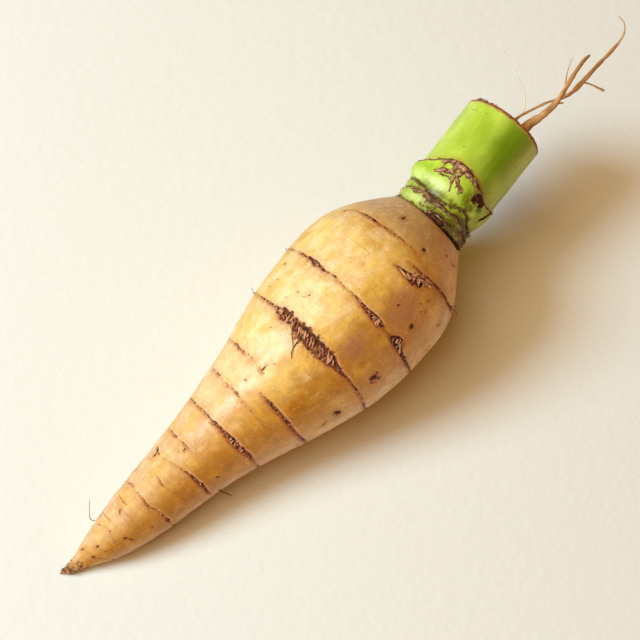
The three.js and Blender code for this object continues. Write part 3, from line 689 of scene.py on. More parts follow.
def tubes(paths, radii, columns, normals):
    """Many tapered tubes at once, pointed at both ends. Each ring's points are the path's point
    plus the radius times the cosine of the angle sideways and its sine upwards. Gives the
    points, the faces, and how many points each tube has."""
    count, steps = paths.shape[:2]
    inner = slice(1, -1)
    side, up = (axes[:, inner, None] for axes in directions_across(paths, normals[:, None, :]))
    turn = np.linspace(0, 2 * np.pi, columns, endpoint=False)[:, None]
    ring = np.cos(turn) * side + np.sin(turn) * up
    rings = paths[:, inner, None] + radii[:, inner, None, None] * ring
    rows = steps - 2
    each = rows * columns + 2
    points = np.concatenate([rings.reshape(count, -1, 3), paths[:, :1], paths[:, -1:]], 1)
    caps = [fan(each - 2, 0, columns), fan(each - 1, (rows - 1) * columns, columns, reverse=True)]
    faces = repeated(ring_quads(rows, columns, (1, 0, 3, 2)), count, each)
    faces += repeated(np.concatenate(caps), count, each)
    return points.reshape(-1, 3), faces, each


def repeated(faces, count, each):
    """The faces of one piece, for this many pieces that each have the same number of points."""
    shift = (np.arange(count) * each)[:, None, None]
    return (faces + shift).reshape(-1, faces.shape[1]).tolist()


# ---- Materials ----

MIX_FIRST, MIX_SECOND, MIX_RESULT = 6, 7, 2  # the colour sockets of a mix node


class Look:
    """A material being made. Most methods add nodes and give their output. Lay and shade change
    the colour so far, and bump changes the normal so far. Noise fields are laid in the grain
    attribute, in millimetres, or in Object coordinates, in metres."""

    def __init__(self, name, in_object=False):
        self.material = bpy.data.materials.new(name)
        self.material.use_nodes = True
        self.tree = self.material.node_tree
        self.grain = self.add("TexCoord", "Object") if in_object else self.mark("grain", "Vector")
        self.colour = self.normal = None

    def plug(self, socket, value):
        """Links a socket to another node's output, or sets it to a value or a colour."""
        if isinstance(value, bpy.types.NodeSocket):
            self.tree.links.new(value, socket)
        elif socket.type == "RGBA":
            socket.default_value = (*value, 1)
        else:
            socket.default_value = value

    def add(self, kind, output, inputs=None, **settings):
        """A node of this kind, with its settings and inputs. Gives one of its outputs."""
        node = self.tree.nodes.new("ShaderNode" + kind)
        for name, value in settings.items():
            setattr(node, name, value)
        for name, value in (inputs or {}).items():
            self.plug(node.inputs[name], value)
        return node.outputs[output]

    def mark(self, name, output="Fac"):
        """A named mark of the mesh's points."""
        return self.add("Attribute", output, attribute_name=name)

    def texture(self, kind, output, size, along, around, inputs=None):
        scale = {"Vector": self.grain, "Scale": (along, around, around)}
        place = self.add("Mapping", "Vector", scale)
        return self.add(kind, output, {"Vector": place, "Scale": 1 / size, **(inputs or {})})

    def noise(self, size, detail=2.0, along=1, around=1, rough=0.5):
        """Random field of 0 to 1 with features of about this size, drawn out along the piece or
        round it where that number is below 1."""
        inputs = {"Detail": detail, "Roughness": rough}
        return self.texture("TexNoise", "Fac", size, along, around, inputs)

    def swing(self, reach, *noise, **more):
        """Random field from minus reach to reach."""
        return self.scaled(self.noise(*noise, **more), 2 * reach, -reach)

    def patches(self, low, high, *noise, **more):
        """Patches of 1 on 0, where a random field passes from low to high."""
        return self.step(self.noise(*noise, **more), low, high)

    def cells(self, size):
        """Distance to the nearest of scattered spots, in units of their spacing."""
        return self.texture("TexVoronoi", "Distance", size, 1, 1)

    def dots(self, size, low, high):
        """Scattered round dots: 1 within low of their middles, and 0 beyond high."""
        return self.step(self.cells(size), low, high, 1.0, 0.0)

    def sums(self, operation, a, b=0.0, c=0.0):
        return self.add("Math", 0, {0: a, 1: b, 2: c}, operation=operation)

    def times(self, a, b):
        return self.sums("MULTIPLY", a, b)

    def plus(self, a, b):
        return self.sums("ADD", a, b)

    def most(self, a, b):
        return self.sums("MAXIMUM", a, b)

    def scaled(self, a, times, plus):
        return self.sums("MULTIPLY_ADD", a, times, plus)

    def step(self, value, low, high, to_low=0.0, to_high=1.0):
        """An S-shaped step of value from low to high."""
        inputs = {"Value": value, "From Min": low, "From Max": high, "To Min": to_low,
                  "To Max": to_high}
        return self.add("MapRange", "Result", inputs, interpolation_type="SMOOTHSTEP")

    def edged(self, name, shift, low, high):
        """A mark of the mesh, cut off with an S-shaped step after a field has shifted it."""
        return self.step(self.plus(self.mark(name), shift), low, high)

    def mix(self, share, a, b):
        inputs = {0: share, MIX_FIRST: a, MIX_SECOND: b}
        return self.add("Mix", MIX_RESULT, inputs, data_type="RGBA")

    def lay(self, share, colour, most=None):
        """Lays a colour over the one so far, as thick as the share, times most."""
        share = share if most is None else self.times(share, most)
        self.colour = self.mix(share, self.colour, colour)

    def shade(self, share, low, high):
        """Makes the colour darker or lighter: times low where the share is 0, and high where 1."""
        scale = self.add("MapRange", "Result", {"Value": share, "To Min": low, "To Max": high})
        inputs = {0: self.colour, "Scale": scale}
        self.colour = self.add("VectorMath", "Vector", inputs, operation="SCALE")

    def bump(self, height, distance, strength=1.0):
        """Bump from a height of 0 to 1 that stands for this distance in millimetres."""
        inputs = {"Strength": strength, "Distance": distance * MM, "Height": height}
        if self.normal is not None:
            inputs["Normal"] = self.normal
        self.normal = self.add("Bump", "Normal", inputs)

    def finish(self, roughness, **more):
        surface = self.tree.nodes["Principled BSDF"]
        values = {"Base Color": self.colour, "Roughness": roughness, "Normal": self.normal}
        for name, value in {**values, **more}.items():
            self.plug(surface.inputs[name.replace("_", " ")], value)
        return self.material


def root_skin_look(settings):
    """Thin satin skin: gold, with ochre blotches and creamy pink ones on top and near the tip,
    which on the upper left are partly a painted highlight. It has a painted shade of darker
    golden-brown on the upper right flank, a painted reflection of the floor low on the right, and
    a dull shoulder that is lighter on its right side as painted light, with dark ragged scars,
    brown stains and pits."""
    look = Look("root skin")
    along, left = (look.add("SeparateXYZ", axis, {0: look.grain}) for axis in "XY")
    look.colour = look.mix(look.patches(0.4, 0.62, 13, 3), settings.ochre, settings.gold)
    slender = look.step(along, 62, 135, 0.55, 0.0)
    look.lay(slender, rgb(196, 130, 72))
    blush = look.mix(slender, settings.blush, rgb(216, 150, 108))
    # Creamy pink on the upper left, partly real patches and partly a painted highlight where the
    # light falls. Low on the right the same mark is a painted reflection of the floor.
    cream_and_painted_light = look.plus(look.mark("cream_and_painted_light"), look.swing(1.0, 6.5, 4, 0.7))
    look.lay(look.step(cream_and_painted_light, 0.05, 1.0, 0.0, 0.92), blush)
    look.shade(look.step(along, 25, 90), 0.88, 1.0)
    # Painted shade: darker golden-brown on the upper right flank, which turns from the light.
    look.lay(look.edged("tan", look.swing(0.45, 7, 4), 0.1, 0.95), rgb(176, 116, 34), 0.85)
    look.lay(look.patches(0.48, 0.66, 9, 3, 0.8), rgb(226, 174, 66), 0.5)
    # Amber patches laid only in that painted shade.
    amber = look.patches(0.48, 0.66, 8, 3, 0.7)
    look.lay(look.times(amber, look.times(look.mark("tan"), 0.85)), rgb(170, 106, 24))
    dull = look.step(look.scaled(look.noise(6, 4), 10.0, along), 182, 194)
    # The dull shoulder turns lighter on its right side: painted light where the shoulder is
    # shaded.
    right = look.step(left, -24, -4, 1.0, 0.0)
    look.lay(dull, look.mix(right, settings.shoulder, rgb(236, 186, 104)), 0.9)
    rings = look.noise(1.7, 3, 1, 0.06)
    look.shade(rings, 0.94, 1.06)
    look.shade(look.noise(1.8, 3, 0.08), 0.95, 1.05)
    look.shade(look.noise(3.5, 4, 0.8), 0.74, 1.25)
    mottle = look.noise(1.1, 4, rough=0.7)
    look.shade(mottle, 0.78, 1.2)
    # Pale patches, laid thicker on the pale upper left, where they add to the painted highlight.
    pale = look.patches(0.52, 0.7, 2.2, 4, 0.8, rough=0.65)
    look.lay(pale, rgb(252, 220, 186), look.step(cream_and_painted_light, 0.0, 0.9, 0.12, 0.5))
    look.lay(look.patches(0.7, 0.76, 0.9, 2, 0.03), rgb(246, 206, 150), 0.35)
    crease = look.patches(0.68, 0.74, 1.5, 2, 1, 0.05)
    look.lay(crease, rgb(160, 98, 50), look.step(along, 20, 90, 0.6, 0.3))
    bruise = look.mark("bruise")
    ragged = look.times(look.swing(0.6, 2.5, 4, 0.6), bruise)
    look.lay(look.step(look.plus(bruise, ragged), 0.1, 0.9), rgb(168, 112, 84), 0.7)
    halo = look.times(look.mark("halo"), look.patches(0.2, 0.7, 3, 3))
    look.lay(halo, rgb(192, 126, 48), 0.65)
    fine = look.swing(0.7, 1.6, 4, rough=0.65)
    stain = look.edged("stain", fine, 0.2, 1.05)
    uneven = look.step(look.noise(4.5, 2), 0.35, 0.6, 0.5, 0.95)
    look.lay(stain, rgb(168, 92, 38), uneven)
    look.lay(look.edged("lip", fine, 0.5, 0.85), rgb(226, 174, 142), 0.5)
    look.lay(look.dots(6.7, 0.05, 0.09), rgb(146, 92, 44), 0.35)
    look.lay(look.dots(2.3, 0.07, 0.12), rgb(250, 220, 176), 0.2)

    # The ring scars: corky, with torn fibres over the cork and a dark seam.
    beads = look.step(look.cells(2.3), 0.15, 0.6, 0.25, -0.2)
    fine = look.plus(look.swing(0.85, 1.2, 4, rough=0.7), beads)
    scar = look.edged("scar", fine, 0.45, 0.8)
    torn = look.mix(look.noise(2.5, 2), settings.bark, rgb(204, 140, 76))
    corky = look.mix(look.patches(0.4, 0.7, 1.6, 3), settings.scar, rgb(136, 68, 34))
    look.lay(scar, look.mix(look.patches(0.52, 0.68, 0.9, 4, 0.35, rough=0.6), corky, torn))
    seam = look.plus(look.mark("seam"), fine)
    look.lay(look.step(seam, 0.4, 0.8), corky)
    look.lay(look.step(seam, 0.75, 1.05), rgb(66, 27, 13))

    pit = look.step(look.scaled(look.noise(0.8, 3), 0.5, look.mark("pit")), 0.7, 1.0)
    look.lay(pit, rgb(74, 38, 18), 0.9)
    crust = look.mark("crust")
    bark = look.mix(look.patches(0.35, 0.65, 1.3, 4), rgb(84, 46, 26), rgb(196, 142, 98))
    look.lay(look.step(look.plus(crust, fine), 0.2, 0.9), bark)
    worn = look.most(look.most(scar, look.most(pit, crust)), look.times(stain, 0.5))
    roughness = look.scaled(worn, 0.35, look.step(mottle, 0.2, 0.8, 0.3, 0.44))
    roughness = look.plus(roughness, look.step(along, 30, 110, 0.14, 0.0))
    look.bump(look.plus(look.noise(0.45, 3), look.times(look.noise(1.3, 3), 1.5)), 0.06)
    look.bump(rings, 0.08)
    look.bump(look.times(look.noise(0.5, 4, 0.4, rough=0.7), worn), 0.45)
    return look.finish(
        roughness, Subsurface_Weight=0.12, Subsurface_Radius=(1.0, 0.5, 0.2),
        Subsurface_Scale=0.004, Specular_IOR_Level=0.42,
    )


def fibre_look(name, dark, light, roughness=0.8):
    """Dry plant fibre: each fibre has its own shade between dark and light, with fine streaks."""
    look = Look(name)
    look.colour = look.mix(look.mark("shade"), dark, light)
    look.shade(look.noise(0.5, 3, 0.3), 0.6, 1.25)
    look.bump(look.noise(0.2, 3, 0.2), 0.06)
    return look.finish(roughness, Specular_IOR_Level=0.2)


def crust_look():
    """Dark dried crust of a small mark, darker where its shade is high."""
    look = Look("dark crust")
    look.colour = look.mix(look.mark("shade"), rgb(158, 100, 50), rgb(78, 40, 18))
    look.shade(look.noise(0.4, 4), 0.5, 1.4)
    look.bump(look.noise(0.3, 4, rough=0.7), 0.2)
    return look.finish(0.75)


def stalk_look(settings):
    """Smooth waxy green skin with soft clouds, a painted highlight of pale green on its lit left
    side, a painted shade of deeper green on its upper right, faint streaks and a dried rim, and a
    pale cut face with brown lines between its layers."""
    look = Look("stalk skin")
    streaks = look.noise(1.5, 3, 0.06)
    share = look.scaled(look.noise(9, 3, 0.6), 0.94, look.times(streaks, 0.06))
    look.colour = look.mix(look.step(share, 0.35, 0.65), settings.deep_green, settings.green)
    look.shade(look.noise(0.9, 4, 0.4, rough=0.65), 0.94, 1.06)
    # Painted highlight: pale green on the lit left side.
    look.lay(look.mark("painted_highlight"), rgb(214, 226, 112))
    # Painted shade: deeper green on the upper right, which turns from the light.
    look.lay(look.edged("deep", look.swing(0.25, 7, 3, 0.6), 0.1, 1.0), rgb(98, 128, 14), 0.85)
    tinge = look.times(look.mark("tinge"), look.patches(0.3, 0.6, 2, 3))
    look.lay(tinge, rgb(190, 148, 62), 0.6)
    look.lay(look.dots(5.2, 0.05, 0.09), rgb(84, 92, 24), 0.7)
    skin_colour = look.colour
    look.colour = look.mix(look.patches(0.35, 0.7, 2.2, 3), settings.flesh, rgb(176, 190, 98))
    look.lay(look.dots(1.3, 0.18, 0.3), rgb(150, 138, 70), 0.5)
    look.lay(look.mark("seam"), rgb(120, 92, 40))
    face = look.mark("face")
    look.colour = look.mix(face, skin_colour, look.colour)
    fine = look.swing(0.45, 1.1, 3)
    look.lay(look.edged("rim", fine, 0.2, 0.45), rgb(190, 152, 78), 0.7)
    rim = look.edged("rim", fine, 0.42, 0.68)
    look.lay(rim, look.mix(look.patches(0.3, 0.7, 0.8, 3), settings.dried, rgb(176, 116, 62)))
    look.bump(look.noise(0.7, 3, 0.06), 0.035)
    look.bump(look.noise(0.5, 4), 0.04)
    return look.finish(
        look.scaled(look.most(rim, face), 0.32, 0.36),
        Subsurface_Weight=0.15, Subsurface_Radius=(0.6, 1.0, 0.2), Subsurface_Scale=0.004,
    )


def sheath_look(name, settings, grey, husk):
    """A leaf-sheath collar: waxy green with a pale painted highlight on its lit side, and a
    brown-olive mark that is partly a stain by the crown and partly painted shade. It has a tan
    crust inside a dark brown outline at its torn edge and on its scabs, brown creases of painted
    shade, and black rot. Grey is how dull the green is, and husk is the dark and the light colour
    of the crust."""
    look = Look(name)
    share = look.scaled(look.noise(6, 3), 0.8, look.times(look.noise(1.6, 3, 0.1), 0.2))
    look.colour = look.mix(look.step(share, 0.35, 0.65), settings.deep_green, settings.green)
    look.lay(look.patches(0.5, 0.8, 2.6, 4, 0.6), rgb(112, 92, 38), grey)
    look.lay(grey * 0.6, rgb(140, 138, 54))
    # Painted highlight: a pale band on the lit side.
    look.lay(look.mark("painted_highlight_band"), rgb(226, 234, 176), 0.5)
    # Brown-olive: a stain by the crown, and painted shade on the side away from the light and
    # above the collar outside.
    grime_and_painted_shade = look.edged("grime_and_painted_shade", look.swing(0.5, 1.8, 4, 0.5), 0.15, 0.95)
    look.lay(grime_and_painted_shade, rgb(82, 72, 18), 0.85)
    dry = look.mark("dry")
    look.lay(look.step(dry, 0.02, 0.5), rgb(190, 168, 84), 0.45)
    fine = look.swing(0.45, 1.0, 3)
    ragged = look.plus(dry, fine)
    outline = look.step(ragged, 0.1, 0.5)
    look.lay(outline, settings.dried)
    tan = look.mix(look.patches(0.38, 0.62, 1.3, 5, 0.7, rough=0.65), *husk)
    tan = look.mix(look.times(grime_and_painted_shade, 0.75), tan, rgb(86, 50, 26))
    look.lay(look.step(ragged, 0.4, 0.85), tan)
    cracks = look.step(look.noise(0.8, 4, 0.6, rough=0.7), 0.36, 0.54, 1.0, 0.0)
    look.lay(look.times(cracks, outline), rgb(72, 38, 24), 0.8)
    # Painted shade: dark brown lines at the torn edge of the collar and just above the collar
    # outside it.
    look.lay(look.edged("crease", fine, 0.1, 1.0), rgb(84, 48, 22), 0.85)
    rot = look.step(look.scaled(fine, 0.6, look.mark("rot")), 0.2, 0.5)
    black = look.patches(0.38, 0.64, 0.9, 4, rough=0.65)
    look.lay(rot, look.mix(black, rgb(24, 10, 8), rgb(112, 62, 40)))
    rough_part = look.most(outline, rot)
    look.bump(look.noise(0.7, 3, 0.1), 0.04)
    look.bump(look.times(look.noise(0.6, 4, rough=0.7), rough_part), 0.5)
    return look.finish(
        look.scaled(rough_part, 0.4, 0.36), Subsurface_Weight=0.1,
        Subsurface_Radius=(0.6, 1.0, 0.2), Subsurface_Scale=0.003, Specular_IOR_Level=0.3,
    )


# ---- Pieces of the root ----

SKIN_ROWS = 430
SKIN_COLUMNS = 222
CROWN_ROWS = 8
FINE_ROW, PLAIN_ROW = 0.3, 0.8  # distance between rows, in mm, at scars and elsewhere


def skin_stations():
    """Rows along the root, packed closer where ring scars are: evenly spaced steps of the
    running total of how many rows each stretch needs."""
    fine = np.linspace(-0.6, ROOT_LENGTH, 4000)
    need = np.where(fine < 12, 1 / FINE_ROW, 1 / PLAIN_ROW)
    for scar in RING_SCARS:
        for _, at, half_width, _ in scar:
            need[np.abs(fine - at) < 2.2 + half_width] = 1 / FINE_ROW
    total = np.concatenate([[0], np.cumsum((need[1:] + need[:-1]) / 2 * np.diff(fine))])
    return np.interp(np.linspace(0, total[-1], SKIN_ROWS), total, fine)


class ROOTVEG_OT_root_skin(bpy.types.Operator):
    """Build the root's skin, with its lumps, ring scars, pits and burnt tip"""

    bl_idname = "rootveg.root_skin"
    bl_label = "Root skin"

    def execute(self, context):
        settings = context.scene.rootveg_root
        angles = np.linspace(0, 360, SKIN_COLUMNS, endpoint=False)
        station, angle = np.meshgrid(skin_stations(), angles, indexing="ij")
        rise, marks, radius = skin(station, angle, settings)
        radius = (radius + rise) * np.sqrt(np.clip((station + 0.62) / 1.4, 0, 1))
        # The crown: rows that dome from the last station towards the middle.
        share = np.linspace(1, 0.3, CROWN_ROWS)[1:, None]
        station = np.vstack([station, ROOT_LENGTH + CROWN_RISE * (1 - share**6) + 0 * angles])
        radius = np.vstack([radius, radius[-1] * share])
        angle = np.broadcast_to(angles, station.shape)
        values = {"grain": with_poles(straight_point(station, angle, radius))}
        for name, mark in marks.items():
            values[name] = with_poles(np.pad(mark, ((0, CROWN_ROWS - 1), (0, 0))))
        points, faces, unrolled = ring_grid(root_point(station, angle, radius))
        material = root_skin_look(settings)
        make_piece("root_skin", points, faces, material, values, "root", unrolled)
        return {"FINISHED"}


class ROOTVEG_OT_scar_fibres(bpy.types.Operator):
    """Lay torn fibres and bristles across the ring scars"""

    bl_idname = "rootveg.scar_fibres"
    bl_label = "Scar fibres"

    def execute(self, context):
        settings = context.scene.rootveg_root
        draw = np.random.default_rng(7)
        groups = []
        for scar in RING_SCARS:
            table = np.array(scar, float)
            first, last = table[0, 0], table[-1, 0]
            girth = np.radians(last - first) * smooth(ROOT_OUTLINE, table[:, 1].mean())
            count = int(girth / settings.fibre_spacing)
            turn = np.sort(draw.uniform(first, last, count))
            at, half, strength = (smooth(scar, turn, column) for column in (1, 2, 3))
            wide = eased(half, 1.3, 2.0)
            rib = draw.uniform(0, 1, count) < 0.9 * wide
            place = straight_point(at, turn, smooth(ROOT_OUTLINE, at))
            clump = eased(field(place, 2.6, 46, 2) + 0.8 * wide, -0.3, 0.7)
            share = np.clip(strength * (0.45 + half) - 0.1, 0, 1) * clump
            kept = draw.uniform(0, 1, count) < np.where(rib, 0.42, share)
            groups.append(np.stack([at, turn, half, rib])[:, kept])
        at, turn, half, rib = np.concatenate(groups, 1)
        rib = rib > 0.5
        count, steps = len(at), 7
        t = np.linspace(0, 1, steps)
        arch = np.sin(np.pi * t)
        half = pinched(half)
        bristle = ~rib & (draw.uniform(0, 1, count) < 0.12)
        shift = np.where(rib, draw.normal(-0.05, 0.15, count), draw.normal(0.3, 0.25, count))
        at = at + shift * half
        length = np.where(bristle, draw.uniform(0.7, 1.6, count), draw.uniform(0.4, 1.1, count))
        length = np.where(rib, draw.uniform(0.7, 1.9, count) * half, length)
        heading = np.where(rib, draw.normal(-24, 16, count), draw.normal(70, 25, count))
        heading = np.radians(np.where(bristle, draw.normal(0, 40, count), heading))
        along, slant = (length * part for part in (np.cos(heading), np.sin(heading)))
        station = (at - along / 2)[:, None] + along[:, None] * t
        bend = draw.normal(0, 0.18, count)[:, None] * arch
        sideways = slant[:, None] * (t - 0.5) + bend
        angle = turn[:, None] + np.degrees(sideways / smooth(ROOT_OUTLINE, at)[:, None])
        lift = draw.uniform(0.02, 0.28, count)[:, None] * arch - 0.08
        lift = lift + (bristle * draw.uniform(0.1, 0.8, count))[:, None] * t**2
        plain = smooth(ROOT_OUTLINE, station)
        paths = root_point(station, angle, plain + lift)
        thick = draw.uniform(0.1, 0.2, count) * np.where(bristle, 0.4, 1) * (1 + 0.6 * rib)
        radii = thick[:, None] * (0.5 + 0.6 * arch)
        radii = radii * (1 + 0.2 * draw.normal(0, 1, (count, steps)))
        middle = steps // 2
        outward = root_point(station[:, middle], angle[:, middle], plain[:, middle] + 5)
        outward = unit(outward - paths[:, middle])
        points, faces, each = tubes(paths, np.maximum(radii, 0.03), 5, outward)
        shade = np.where(rib, draw.beta(2.2, 1.3, count), draw.uniform(0, 1, count) ** 1.8)
        material = fibre_look("scar fibre", rgb(104, 50, 26), rgb(244, 180, 142), 0.75)
        values = {"shade": np.repeat(shade, each), "grain": points}
        make_piece("scar_fibres", points, faces, material, values)
        return {"FINISHED"}


class ROOTVEG_OT_skin_marks(bpy.types.Operator):
    """Scatter small dark crusts over the skin, and set the larger ones in their places"""

    bl_idname = "rootveg.skin_marks"
    bl_label = "Skin marks"

    def execute(self, context):
        settings = context.scene.rootveg_root
        draw = np.random.default_rng(21)
        stray = settings.stray_marks
        station = draw.uniform(15, 192, stray)
        angle = draw.uniform(170, 370, stray)
        length = draw.uniform(0.1, 0.9, stray)
        scattered = np.stack([
            station, angle, station + length, angle + draw.normal(0, 1.5, stray),
            draw.uniform(0.5, 1.3, stray), draw.uniform(0.2, 1, stray),
        ], -1)
        marks = np.concatenate([np.array(SKIN_MARKS), scattered])
        start, from_turn, end, to_turn, width, dark = marks.T
        count, columns, rings = len(marks), 16, 3
        turn = np.linspace(0, 2 * np.pi, columns, endpoint=False)
        middle, middle_turn = (start + end) / 2, (from_turn + to_turn) / 2
        radius = smooth(ROOT_OUTLINE, middle)
        half = np.stack([(end - start) / 2, np.radians(to_turn - from_turn) * radius / 2])
        direction = np.arctan2(half[1], half[0])[:, None, None]
        ragged = 1 + 0.5 * draw.normal(0, 1, (count, columns))
        ragged = np.clip((ragged + np.roll(ragged, 1, 1)) / 2, 0.4, 1.7)
        # Rings that shrink towards the peak, each an oval drawn out along the mark.
        share = np.linspace(1, 0.35, rings)[:, None]
        reach = 0.75 * np.hypot(*half)[:, None, None] * share
        wide = (width * (0.3 + 0.5 * dark))[:, None, None] / 2 * ragged[:, None] * share
        cosine, sine = np.cos(turn), np.sin(turn)
        x = wide * cosine + reach * np.sign(cosine) * np.abs(cosine) ** 0.5
        y = wide * sine
        place = middle[:, None, None] + x * np.cos(direction) - y * np.sin(direction)
        across = x * np.sin(direction) + y * np.cos(direction)
        place_turn = middle_turn[:, None, None] + np.degrees(across / radius[:, None, None])
        bumps = 0.04 * draw.normal(0, 1, (count, rings, columns)) * [[[0], [1], [1]]]
        height = np.array([[-0.12], [0.05], [0.1]]) + bumps
        points = skin_point(place, place_turn, height, settings).reshape(count, -1, 3)
        peak = skin_point(middle, middle_turn, 0.1, settings)
        points = np.concatenate([points, peak[:, None]], 1).reshape(-1, 3)
        last, each = (rings - 1) * columns, rings * columns + 1
        faces = repeated(ring_quads(rings, columns, (0, 3, 2, 1)), count, each)
        faces += repeated(fan(each - 1, last, columns, reverse=True), count, each)
        values = {"shade": np.repeat(dark, each), "grain": points}
        make_piece("skin_marks", points, faces, crust_look(), values)
        return {"FINISHED"}


class ROOTVEG_OT_whiskers(bpy.types.Operator):
    """Grow the whiskers, curly rootlets, edge hairs and torn strips from the root"""

    bl_idname = "rootveg.whiskers"
    bl_label = "Whiskers"

    def execute(self, context):
        settings = context.scene.rootveg_root
        dark = fibre_look("dark rootlet", rgb(52, 28, 14), rgb(110, 70, 40))
        brown = fibre_look("brown rootlet", rgb(84, 50, 24), rgb(150, 104, 60))
        grey = fibre_look("grey whisker", rgb(120, 100, 76), rgb(176, 158, 128))
        strip = fibre_look("torn strip", rgb(150, 92, 54), rgb(236, 194, 146))
        # Name, route, thickness, material, node.
        strands = [
            ("tip_whisker_hair", TIP_WHISKER, 0.2, grey, "tip_whisker"),
            ("side_whisker_hair", SIDE_WHISKER, 0.32, dark, "side_whisker"),
            ("curly_rootlet_hair", CURLY_ROOTLETS[0], 0.3, brown, "curly_rootlet"),
            ("curly_rootlet_hair_2", CURLY_ROOTLETS[1], 0.26, brown, None),
        ]
        for name, group, thick, material in (("edge_hair", EDGE_HAIRS, 0.17, dark),
                                             ("torn_strip", TORN_STRIPS, 0.4, strip)):
            strands += [(f"{name}_{number}", steps, thick, material, None)
                        for number, steps in enumerate(group)]
        t = np.linspace(0, 1, 30)
        for name, steps, thick, material, node in strands:
            path = route_through(skin_point(*np.array(steps, float).T, settings), len(t))
            path[:, 2] += 0.12 * np.sin(t * 17) * np.sin(np.pi * t)
            radii = thick * (1 - 0.55 * t) * (1 + 0.12 * np.sin(t * 40))
            points, faces, _ = tubes(path[None], radii[None], 8, np.array([[0.1, 0.2, 1.0]]))
            shade = np.clip(0.5 + 0.6 * field(points, 1.2, 47, 2), 0, 1)
            values = {"shade": shade, "grain": points}
            make_piece(name, points, faces, material, values, node)
        return {"FINISHED"}


# ---- Pieces of the stalk ----

STALK_COLUMNS = 240
STALK_RADIUS = 17  # about, for shreds that run round it
CROWN_SURFACE, RIM_SURFACE = 16.6, 17.1  # where the shreds at the crown and the cut rim lie


class ROOTVEG_OT_stalk(bpy.types.Operator):
    """Build the stalk with its fine ribs and its cut face"""

    bl_idname = "rootveg.stalk"
    bl_label = "Stalk"

    def execute(self, context):
        settings = context.scene.rootveg_stalk
        angles = np.linspace(0, 360, STALK_COLUMNS, endpoint=False)
        bend = STALK_LENGTH - 4  # the rows are closer from here to the rim
        rows = np.append(
            np.linspace(1, bend, 120), np.linspace(bend, STALK_LENGTH - 0.25, 28)[1:]
        )
        distance, angle = np.meshgrid(rows, angles, indexing="ij")
        radius = smooth(STALK_OUTLINE, distance)
        place = straight_point(distance, angle, radius)
        ribs = field(place * (0.03, 1, 1), 0.9, 60, 2)
        dents = field(place * (0.5, 1, 1), 11, 61, 2)
        free = eased(distance, 14, 24)
        radius = radius + free * (settings.rib_height * ribs + 0.22 * dents)
        curl = eased(distance, STALK_LENGTH - 1.6, STALK_LENGTH - 0.2)
        radius = radius + curl * (0.12 + 0.2 * field(place, 2.2, 62, 2) - 0.35 * curl)
        rim_height = STALK_LENGTH + 0.25 * field(place[-1], 2.5, 63, 2)

        # The cut face: rows from the rim to the middle, sunk like a shallow dish, with a groove
        # between its layers, which are not quite round.
        share = np.append(np.linspace(0.985, 0.9, 8), np.linspace(0.89, 0.02, 78))[:, None]
        turn = np.radians(angles)
        layer = share * (1 + 0.05 * np.cos(turn + 0.8) + 0.03 * np.cos(2 * turn - 0.5))
        seams = sum(bell((layer - at) / 0.016) for at in (0.86, 0.68, 0.5, 0.31))
        face_radius = radius[-1] * share
        face_place = straight_point(0 * face_radius, angles, face_radius)
        sunk = CUT_DISH * eased(1 - share, 0.0, 0.35) + 0.35 * seams
        sunk = sunk + 0.12 * field(face_place, 1.1, 64, 2) + 0.25 * field(face_place, 7, 65)
        face_distance = np.minimum(rim_height - sunk, STALK_LENGTH)
        face = stalk_point(face_distance, angle[: len(share)], face_radius)

        def over(side, face=0):
            """A mark's values on the side and on the cut face."""
            side, face = side + 0 * distance, face + 0 * face_distance
            return with_poles(np.concatenate([side, face]))

        grain = [straight_point(distance, angle, radius), face_place + [STALK_LENGTH, 0, 0]]
        # Painted shade: a band of deeper green along the upper right of the stalk.
        deep = bell(turned_from(angle, 118) / 28) * (0.8 + 0.2 * bell((distance - 38) / 12))
        above_collar = distance - smooth(SHEATH_EDGES["sheath_upper"], angle)
        values = {
            "grain": with_poles(np.concatenate(grain)),
            # A painted highlight on the lit left side.
            "painted_highlight": over(0.3 * bell(turned_from(angle, 38) / 26)),
            "deep": over(deep),
            "tinge": over(bell((above_collar - 0.8) / 1.5)),
            "face": over(0, 1),
            "seam": over(0, np.clip(seams, 0, 1)),
            "rim": over(bell((STALK_LENGTH - distance) / 1.8), bell((1 - share) / 0.09)),
        }
        points = np.concatenate([stalk_point(distance, angle, radius), face])
        points, faces, unrolled = ring_grid(points)
        material = stalk_look(settings)
        make_piece("stalk_skin", points, faces, material, values, "stalk", unrolled)
        return {"FINISHED"}


# Scabs on the upper collar, as streaks from one place to another: distance, angle, distance,
# angle, width, and whether it is dried crust (0) or black rot (1).
SCABS = [
    (16.2, 60, 17.6, 66, 1, 0), (17.6, 66, 18.8, 78, 1.2, 0), (18.8, 78, 21.5, 80, 1.5, 0),
    (16.2, 60, 16, 72, 0.4, 0), (16, 72, 17.2, 84, 0.4, 0), (20.8, 62, 22.8, 70, 1.3, 0),
    (22.8, 70, 23, 84, 2, 0), (23, 84, 22, 98, 1.9, 0), (22, 98, 21, 110, 1.2, 0),
    (21, 110, 20, 122, 1, 0), (17.4, 85, 15.3, 86, 0.8, 0), (15.3, 86, 12.4, 90, 0.4, 0),
    (18.8, 86, 16.6, 93, 1.1, 0), (16.6, 93, 14.8, 101, 1.3, 0), (19, 86, 22.3, 91, 1.6, 0),
    (16.8, 125, 18.6, 130, 2.8, 1), (18.6, 130, 20.2, 136, 2.6, 1), (17, 136, 18.6, 132, 2.6, 1),
    (13.4, 158, 19.5, 165, 1.2, 1), (14, 262, 19, 270, 1.6, 0), (19, 270, 20, 282, 1.5, 0),
    (15, 330, 12, 345, 1.2, 0), (17, 215, 19.5, 222, 1.4, 1),
]
COLLAR_RADIUS = 18  # about, for what runs round the collars


